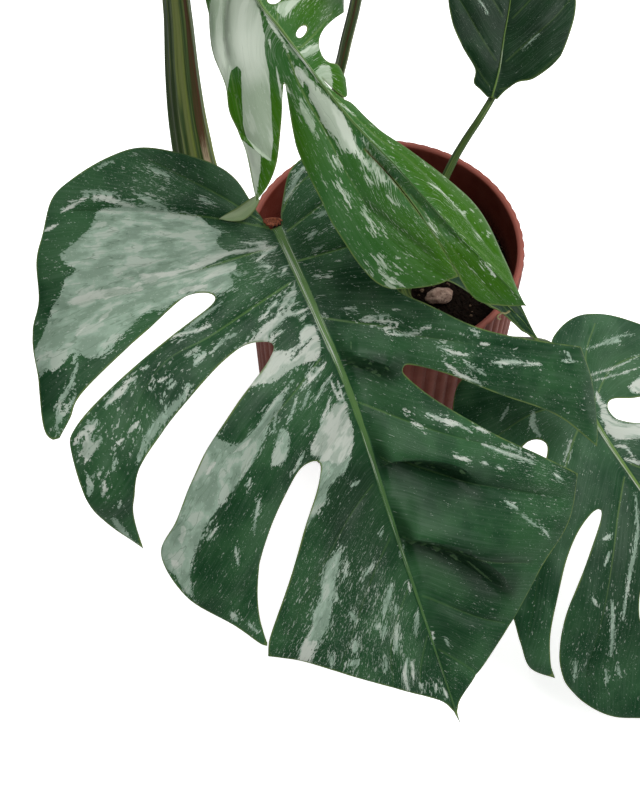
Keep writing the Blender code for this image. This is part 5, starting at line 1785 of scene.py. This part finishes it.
class MonsteraPotSettings(bpy.types.PropertyGroup):
    height: length_choice("Height", "From the floor to the lip", POT_HEIGHT)
    rim_radius: length_choice("Rim Radius", "Outer radius at the top", POT_RIM_RADIUS)
    base_radius: length_choice("Base Radius", "Outer radius at the floor", POT_BASE_RADIUS)
    flute_depth: length_choice("Flute Depth", "Depth of the grooves between flutes", FLUTE_DEPTH)
    flutes: IntProperty(name="Flutes", description="Number of flutes", default=FLUTES, min=3)
    wall: colour_choice("Wall", "Plastic of the wall", 108, 47, 34)
    # The lip colour is the paler plastic of the blotches and flute crests, and also the painted
    # highlight on the lip's top.
    lip: colour_choice("Pale Plastic And Highlight", "Chalkier plastic of the lip and flute tops", 154, 90, 78)
    # The inside colour is painted shade on the inner wall.
    inside: colour_choice("Inside", "Plastic of the inner wall", 84, 26, 20)


class MonsteraSoilSettings(bpy.types.PropertyGroup):
    crumb_size: length_choice("Crumb Size", "Radius of a middling crumb", 1.1)
    crumbs: FloatProperty(name="Crumbs", description="Crumbs on a square metre", default=150000.0)
    fibres: FloatProperty(name="Fibres", description="Fibres on a square metre", default=26000.0)
    dark: colour_choice("Dark", "Moist peat", 9, 7, 5)
    brown: colour_choice("Brown", "Drier peat and crumbs", 30, 21, 15)
    pale: colour_choice("Pale", "The few pale bits", 104, 86, 70)
    bark: colour_choice("Bark", "Bark in its hollows", 118, 92, 78)
    bark_light: colour_choice("Light Bark", "Bark on its raised parts", 166, 142, 126)


class MonsteraStalkSettings(bpy.types.PropertyGroup):
    body: colour_choice("Body", "Main green of a petiole", 74, 96, 52)
    dark: colour_choice("Dark", "Dark stripes", 38, 60, 30)
    light: colour_choice("Light", "Yellow-green stripes", 128, 140, 70)
    dry: colour_choice("Dry", "Dried edge of a sheath", 112, 78, 54)
    stem: colour_choice("Stem", "Yellow-green stem", 142, 150, 82)


class MonsteraLeafSettings(bpy.types.PropertyGroup):
    thickness: length_choice("Thickness", "Thickness of a blade", SHEET)
    lift: length_choice("Lift", "Height of the upper side over the plain blade", 0.0)
    freckles: FloatProperty(name="Freckles", description="Amount of pale flecks", default=1.0)
    green: colour_choice("Green", "Green of a grown leaf", 45, 84, 50)
    deep_green: colour_choice("Deep Green", "Darkest green", 19, 58, 30)
    fresh_green: colour_choice("Fresh Green", "Green of the youngest leaf", 48, 88, 12)
    sage: colour_choice("Sage", "Half-pale patches", 144, 166, 148)
    ivory: colour_choice("Ivory", "Fully pale patches", 188, 195, 184)
    rib: colour_choice("Rib", "Midrib and veins", 104, 132, 66)
    margin: colour_choice("Margin", "Thin edge of a leaf", 98, 118, 62)
    underside: colour_choice("Underside", "Green of the lower side", 92, 124, 84)


class MonsteraStageSettings(bpy.types.PropertyGroup):
    floor: colour_choice("Floor", "Plain floor", 250, 250, 250)
    lens: FloatProperty(name="Lens", description="Focal length in millimetres", default=65.0)
    key: FloatProperty(name="Key Light", description="Power of the large soft light, in watts",
                       default=20.0)
    sky: FloatProperty(name="Sky", description="Strength of the even light all round", default=0.05)
    glow: FloatProperty(name="Floor Glow", description="Brightness of the floor as it is seen",
                        default=0.8)


def soil_height(x, y):
    """Height of the soil's uneven top at a place."""
    wave = noise.noise(Vector((x / SOIL_WAVE, y / SOIL_WAVE, 3.7)))
    lump = noise.noise(Vector((x / SOIL_LUMP, y / SOIL_LUMP, 9.1)))
    return SOIL_TOP + SOIL_BUMP * (wave + 0.6 * lump)


def inner_radius(height):
    """Radius of the pot's inner wall at a height."""
    low = POT_BASE_RADIUS + POT_SLOPE * POT_FLOOR - POT_FLOOR_WALL
    high = POT_RIM_RADIUS - POT_RIM_WIDTH
    return low + (high - low) * (height - POT_FLOOR) / (POT_HEIGHT - POT_LIP_SLOPE - POT_FLOOR)


def ring_mesh(name, rings, sides):
    """A closed mesh of rings; each ring is a function from an angle to a point."""
    points, faces = [], []
    for ring in rings:
        points.extend(ring(2 * math.pi * i / sides) for i in range(sides))
    for k in range(len(rings) - 1):
        for i in range(sides):
            j = (i + 1) % sides
            low, high = k * sides, (k + 1) * sides
            faces.append((low + i, low + j, high + j, high + i))
    faces.append(tuple(reversed(range(sides))))
    faces.append(tuple(range((len(rings) - 1) * sides, len(rings) * sides)))
    mesh = bpy.data.meshes.new(name)
    mesh.from_pydata([tuple(c * MM for c in p) for p in points], [], faces)
    return mesh


class MONSTERA_OT_pot(bpy.types.Operator):
    """Fluted plastic pot with its lip, inner wall and drain holes"""
    bl_idname = "monstera.pot"
    bl_label = "Pot"

    def execute(self, context):
        chosen = context.scene.monstera_pot
        height, rim, base = (v / MM for v in (chosen.height, chosen.rim_radius, chosen.base_radius))
        slope = (rim - base) / height
        profile = [(0.0, 0.0, 0.0), (20.0, 0.0, 0.0), (48.0, 0.0, 0.0), (base - 6.0, 0.0, 0.0),
                   (base - 3.4, 0.4, 0.5), (base - 1.5, 0.8, 1.8), (base - 0.3, 1.0, 4.0)]
        profile += [(base + slope * z, 1.0, z) for z in np.linspace(8.0, height - 2.6, 14)]
        for k in range(1, 6):
            turn = math.pi / 2 * k / 5
            profile.append((rim - 1.7 + 1.4 * math.cos(turn), 0.5 - 0.08 * k,
                            height - 2.0 + 2.0 * math.sin(turn)))
        lip = inner_radius(height - POT_LIP_SLOPE)
        profile += [(rim - 2.6, 0.15, height - 0.05), (rim - 3.4, 0.05, height - 0.2),
                    (lip + 0.7, 0.0, height - 0.42), (lip + 0.2, 0.0, height - 0.75),
                    (lip - 0.05, 0.0, height - 1.4)]
        profile += [(inner_radius(z), 0.0, z) for z in np.linspace(height - 3.5, 10.0, 12)]
        corner = inner_radius(POT_FLOOR)
        profile += [(radius, 0.0, POT_FLOOR + rise) for radius, rise in (
            (corner + 0.2, 2.2), (corner - 0.6, 0.7), (corner - 2.4, 0.0), (48.0, 0.0),
            (20.0, 0.0), (0.0, 0.0))]
        mesh = bpy.data.meshes.new("pot_profile")
        mesh.from_pydata([(r * MM, share, z * MM) for r, share, z in profile],
                         [(i, i + 1) for i in range(len(profile) - 1)], [])
        made = grown(new_piece("pot_profile", mesh), pot_tree, "Fluted Pot", "pot_body",
                     Flutes=chosen.flutes, Flute_Depth=chosen.flute_depth,
                     Material=pot_finish(chosen))
        settled(new_piece("pot_body", outward(made)), "pot", "pot")
        return {"FINISHED"}


def soil_rings():
    """The rings of the soil's body, from its bottom to the middle of its uneven top."""
    bottom = POT_FLOOR + 0.3
    outer = inner_radius(SOIL_TOP) - SOIL_CLEAR

    def wall(height):
        radius = inner_radius(height) - SOIL_CLEAR
        return lambda angle: (radius * math.cos(angle), radius * math.sin(angle), height)

    def top(share):
        def ring(angle):
            x, y = outer * share * math.cos(angle), outer * share * math.sin(angle)
            rough = noise.fractal(Vector((x / 3.1, y / 3.1, 1.0)), 0.8, 2.0, 4)
            edge = smooth((share - 0.94) / 0.06)
            z = soil_height(x, y) * (1 - edge) + (SOIL_TOP - SOIL_EDGE_DROP) * edge
            return (x, y, z + 0.5 * rough * (1 - edge))
        return ring

    return ([wall(height) for height in (bottom, 60.0, SOIL_TOP - 4.0)]
            + [top(share) for share in np.linspace(1.0, 0.015, 62)])


def bark_mesh(number, x, y, length, width, height, turn):
    """A flaked, rounded piece of bark on the soil, at the height of its chip in the frame."""
    bm = bmesh.new()
    bmesh.ops.create_icosphere(bm, subdivisions=5, radius=0.5)
    for v in bm.verts:
        swell = 1.0 + 0.16 * noise.noise(v.co * 3.0 + Vector((number * 5.0, 0.0, 0.0)))
        v.co *= swell + 0.035 * noise.fractal(v.co * Vector((3.0, 9.0, 14.0)), 0.9, 2.0, 4)
    size = Matrix.Diagonal((length * MM, width * MM, height * MM, 1.0))
    spin = Matrix.Rotation(math.radians(turn), 4, "Z")
    low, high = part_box(f"bark_chip_{number}")
    place = Matrix.Translation((x * MM, y * MM, (low[2] + high[2]) / 2))
    bmesh.ops.transform(bm, matrix=place @ spin @ size, verts=bm.verts)
    mesh = bpy.data.meshes.new(f"bark_{number}")
    bm.to_mesh(mesh)
    bm.free()
    mesh.polygons.foreach_set("use_smooth", np.ones(len(mesh.polygons), bool))
    return mesh


class MONSTERA_OT_soil(bpy.types.Operator):
    """Potting mix with its crumbs and fibres, and the bark on it"""
    bl_idname = "monstera.soil"
    bl_label = "Soil and Bark"

    def execute(self, context):
        chosen = context.scene.monstera_soil
        source = new_piece("soil_source", outward(ring_mesh("soil_body", soil_rings(), 168)))
        mesh = grown(source, crumb_tree, "Soil Crumbs", "soil_bed", Crumbs=chosen.crumbs,
                     Fibres=chosen.fibres, Crumb_Size=chosen.crumb_size, Seed=SEED,
                     Material=soil_finish(chosen))
        settled(new_piece("soil_bed", mesh), "soil", "soil")
        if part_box("bark_chip_1")[0][2] < (SOIL_TOP - 5.0) * MM:
            raise RuntimeError("the bark lies below the soil")
        bark = bark_finish(chosen)
        for number, sizes in enumerate(BARK_PIECES, start=1):
            piece = new_piece(f"bark_{number}", bark_mesh(number, *sizes), bark)
            settled(piece, "bark", f"bark_chip_{number}")
        return {"FINISHED"}


class MONSTERA_OT_stem(bpy.types.Operator):
    """Short ringed stem between the petioles"""
    bl_idname = "monstera.stem"
    bl_label = "Stem"

    def execute(self, context):
        chosen = context.scene.monstera_stalk
        marks = np.r_[STEM_BOTTOM, np.linspace(112.0, 151.0, 79)]
        radii = STEM_RADIUS + np.interp(marks, *np.transpose(STEM_PROFILE))
        finish = stalk_finish("ringed stem", Body=chosen.stem, Dark=chosen.body,
                              Light=srgb(176, 178, 112), Dry=chosen.dry, Stripes=14.0,
                              Freckles=0.5)
        mesh = stalk_mesh("stem_body", [(*STEM_FOOT, z) for z in marks], radii, finish, Sides=72,
                          Ribs=24, Rib_Height=0.012, Channel=0.0)
        settled(new_piece("stem_body", mesh), "stem", "stem")
        return {"FINISHED"}


STALKS = {
    # ribs, rib height, channel, wing height, where the wings end, and Stalk Stripes inputs
    "petiole_front": (9, 0.02, 0.10, 0.14, 0.06, {}),
    "petiole_upper": (13, 0.035, 0.10, 0.16, 0.30,
                      {"Dry_Place": 0.725, "Dry_Width": 0.045, "Bright_Place": 0.605,
                       "Bright_Width": 0.045, "Body": srgb(70, 92, 50), "Dark": srgb(40, 62, 18),
                       "Dry": srgb(84, 56, 38)}),
    "petiole_right": (9, 0.02, 0.10, 0.14, 0.05, {}),
    "petiole_heart": (7, 0.02, 0.08, 0.30, 0.045,
                      {"Body": srgb(74, 102, 54), "Dark": srgb(50, 80, 38)}),
    "petiole_small": (7, 0.02, 0.08, 0.0, 0.01, {}),
    "petiole_back": (9, 0.03, 0.10, 0.25, 0.12,
                     {"Dry_Place": 0.66, "Dry_Width": 0.02, "Dry": srgb(84, 58, 40),
                      "Dry_Light": srgb(92, 74, 46), "Body": srgb(62, 88, 46),
                      "Dark": srgb(50, 66, 34)}),
}


class MONSTERA_OT_petioles(bpy.types.Operator):
    """The six petioles, with their channels, sheath edges and dried tips"""
    bl_idname = "monstera.petioles"
    bl_label = "Petioles"

    def execute(self, context):
        chosen = context.scene.monstera_stalk
        shared = {"Body": chosen.body, "Dark": chosen.dark, "Light": chosen.light,
                  "Dry": chosen.dry}
        for name, (ribs, rib_height, channel, wing, wing_end, tones) in STALKS.items():
            radii = PETIOLES[name][1]
            points = even_steps(catmull(petiole_route(name), 16), STALK_STEP)
            shares = np.linspace(0.0, 1.0, len(points))
            widths = np.interp(shares, np.linspace(0.0, 1.0, len(radii)), radii)
            knee = np.exp(-((shares - 0.985) * len(points) * STALK_STEP / 7.0) ** 2)
            left = (1.0 - shares) * (len(points) - 1) * STALK_STEP
            widths = widths * (1.0 + 0.10 * knee) * (0.22 + 0.78 * smooth(left / 6.0))
            finish = stalk_finish(f"{name} skin", **{**shared, **tones})
            mesh = stalk_mesh(f"{name}_stalk", points, widths, finish, Ribs=ribs, Sides=60,
                              Rib_Height=rib_height, Channel=channel, Wing_Height=wing,
                              Wing_End=wing_end)
            settled(new_piece(f"{name}_stalk", mesh), "petiole", name)
        return {"FINISHED"}


LEAF_TONES = {
    # what a leaf has of its own: Leaf Pattern inputs
    "leaf_front": {"Rib_Colour": srgb(94, 128, 70)},
    "leaf_upper": {"Green": srgb(56, 100, 56), "Deep_Green": srgb(42, 88, 50), "Streak": 2.0,
                   "Fresh_Green": srgb(48, 94, 4), "Ivory": srgb(206, 216, 200),
                   "Sage": srgb(154, 176, 150), "Rib_Colour": srgb(104, 132, 74)},
    # The right leaf's Green is set lighter so that, with the painted shade on its lower half, its
    # top reads as lit: this is partly painted light.
    "leaf_right": {"Green": srgb(54, 92, 60), "Deep_Green": srgb(24, 64, 36)},
    "leaf_heart": {"Green": srgb(16, 50, 22), "Deep_Green": srgb(8, 38, 16)},
    "leaf_small": {"Green": srgb(20, 56, 28), "Deep_Green": srgb(12, 42, 18)},
    "leaf_back": {"Green": srgb(40, 80, 36)},
}


# The dry thread that curls away from the edge of the upper leaf, over the pot's rim.
THREAD = ((228.0, -7.6), (227.4, -10.0), (226.0, -10.9), (225.4, -12.4), (225.8, -14.0),
          (227.0, -14.2), (227.8, -13.4))


class MONSTERA_OT_leaves(bpy.types.Operator):
    """The six leaves, each bent, quilted and patterned along its own veins"""
    bl_idname = "monstera.leaves"
    bl_label = "Leaves"

    def execute(self, context):
        chosen = context.scene.monstera_leaf
        front, upper = (Blade(LEAVES[name]) for name in ("leaf_front", "leaf_upper"))
        skin = leaf_finish("upper_curl skin", LEAVES["leaf_upper"], chosen, Rib_Width=0.0,
                           Freckle_Amount=0.2, Sage=srgb(138, 158, 112), Ivory=srgb(160, 176, 140))
        settled(new_piece("upper_curl", curl_mesh("upper_curl", front), skin), "leaf")
        skin = dried_finish("collar skin", srgb(168, 92, 58), srgb(96, 46, 30))
        settled(new_piece("front_collar", collar_mesh("front_collar", front), skin), "leaf")
        s, t = even_steps(catmull(THREAD, 8), 0.5).T
        skin = stalk_finish("upper_thread skin", Body=srgb(158, 152, 110), Dark=srgb(120, 112, 76))
        mesh = stalk_mesh("upper_thread", upper.place(s, t) - upper.normal(s, t),
                          np.linspace(0.55, 0.3, len(s)), skin, Ribs=3, Sides=8, Rib_Height=0.0,
                          Channel=0.0, Wing_Height=0.0, Wing_End=0.0)
        settled(new_piece("upper_thread", mesh), "leaf")
        for name, leaf in LEAVES.items():
            mesh = leaf_mesh(f"{name}_blade", leaf, chosen.thickness / MM, chosen.lift / MM)
            finish = leaf_finish(f"{name} skin", leaf, chosen, **LEAF_TONES[name])
            settled(new_piece(f"{name}_blade", mesh, finish), "leaf", name)
        return {"FINISHED"}


class MONSTERA_OT_stage(bpy.types.Operator):
    """Plain pale floor, soft studio light and the camera"""
    bl_idname = "monstera.stage"
    bl_label = "Stage"

    def execute(self, context):
        chosen = context.scene.monstera_stage
        mesh = bpy.data.meshes.new("floor")
        corners = ((-1, -1), (1, -1), (1, 1), (-1, 1))
        mesh.from_pydata([(x * FLOOR_REACH, y * FLOOR_REACH, 0) for x, y in corners], [],
                         [(0, 1, 2, 3)])
        finish, w, sockets = new_finish("studio floor")
        seen = w.term("ShaderNodeLightPath", "Is Camera Ray")
        for title, value in (("Base Color", chosen.floor), ("Roughness", 0.9),
                             ("Specular IOR Level", 0.0), ("Emission Color", chosen.floor),
                             ("Emission Strength", w.ramp(seen, 0.0, 1.0, 0.06, chosen.glow))):
            w.feed(sockets[title], value)
        floor = new_piece("floor", mesh, finish)
        world = bpy.data.worlds.new("soft studio")
        world.use_nodes = True
        w = Wiring(world.node_tree)
        ground = world.node_tree.nodes["Background"].inputs
        seen = w.term("ShaderNodeLightPath", "Is Camera Ray")
        w.feed(ground["Color"], (1.0, 1.0, 1.0))
        w.feed(ground["Strength"], w.ramp(seen, 0.0, 1.0, chosen.sky, 0.93))
        context.scene.world = world
        for name, turn, height, share, size in LAMPS:
            turn, height = math.radians(turn), math.radians(height)
            away = Vector((math.cos(turn) * math.cos(height), math.sin(turn) * math.cos(height),
                           math.sin(height)))
            lamp = bpy.data.lights.new(name, "AREA")
            lamp.energy = chosen.key * share
            lamp.shape = "DISK"
            lamp.size = size
            holder = bpy.data.objects.new(name, lamp)
            holder.location = Vector(LAMP_AIM) + away * LAMP_DISTANCE
            holder.rotation_euler = (-away).to_track_quat("-Z", "Y").to_euler()
            context.scene.collection.objects.link(holder)
        camera = bpy.data.cameras.new("camera")
        camera.lens = chosen.lens
        camera.sensor_width = 36.0
        holder = bpy.data.objects.new("camera", camera)
        holder.location = CAMERA_PLACE
        holder.rotation_euler = (math.radians(CAMERA_TILT), 0.0, 0.0)
        context.scene.collection.objects.link(holder)
        context.scene.camera = holder
        context.scene.view_settings.view_transform = "Standard"
        return {"FINISHED"}


STEPS = (MONSTERA_OT_stage, MONSTERA_OT_pot, MONSTERA_OT_soil, MONSTERA_OT_stem,
         MONSTERA_OT_petioles, MONSTERA_OT_leaves)


class MONSTERA_PT_panel(bpy.types.Panel):
    """Sizes, colours and pieces of the monstera"""
    bl_idname = "MONSTERA_PT_panel"
    bl_label = "Monstera"
    bl_space_type = "VIEW_3D"
    bl_region_type = "UI"
    bl_category = "Monstera"

    def draw(self, context):
        for step in STEPS:
            self.layout.operator(step.bl_idname)
        for title in CHOICES:
            box = self.layout.box()
            chosen = getattr(context.scene, title)
            for name in chosen.bl_rna.properties.keys():
                if name not in {"rna_type", "name"}:
                    box.prop(chosen, name)


CHOICES = {
    "monstera_pot": MonsteraPotSettings, "monstera_soil": MonsteraSoilSettings,
    "monstera_stalk": MonsteraStalkSettings, "monstera_leaf": MonsteraLeafSettings,
    "monstera_stage": MonsteraStageSettings,
}


def register():
    for kind in (*CHOICES.values(), *STEPS, MONSTERA_PT_panel):
        bpy.utils.register_class(kind)
    for title, kind in CHOICES.items():
        setattr(bpy.types.Scene, title, PointerProperty(type=kind))


def unregister():
    for title in CHOICES:
        delattr(bpy.types.Scene, title)
    for kind in reversed((*CHOICES.values(), *STEPS, MONSTERA_PT_panel)):
        bpy.utils.unregister_class(kind)


def main():
    register()
    for step in STEPS:
        group, name = step.bl_idname.split(".")
        getattr(getattr(bpy.ops, group), name)()


if __name__ == "__main__":
    main()
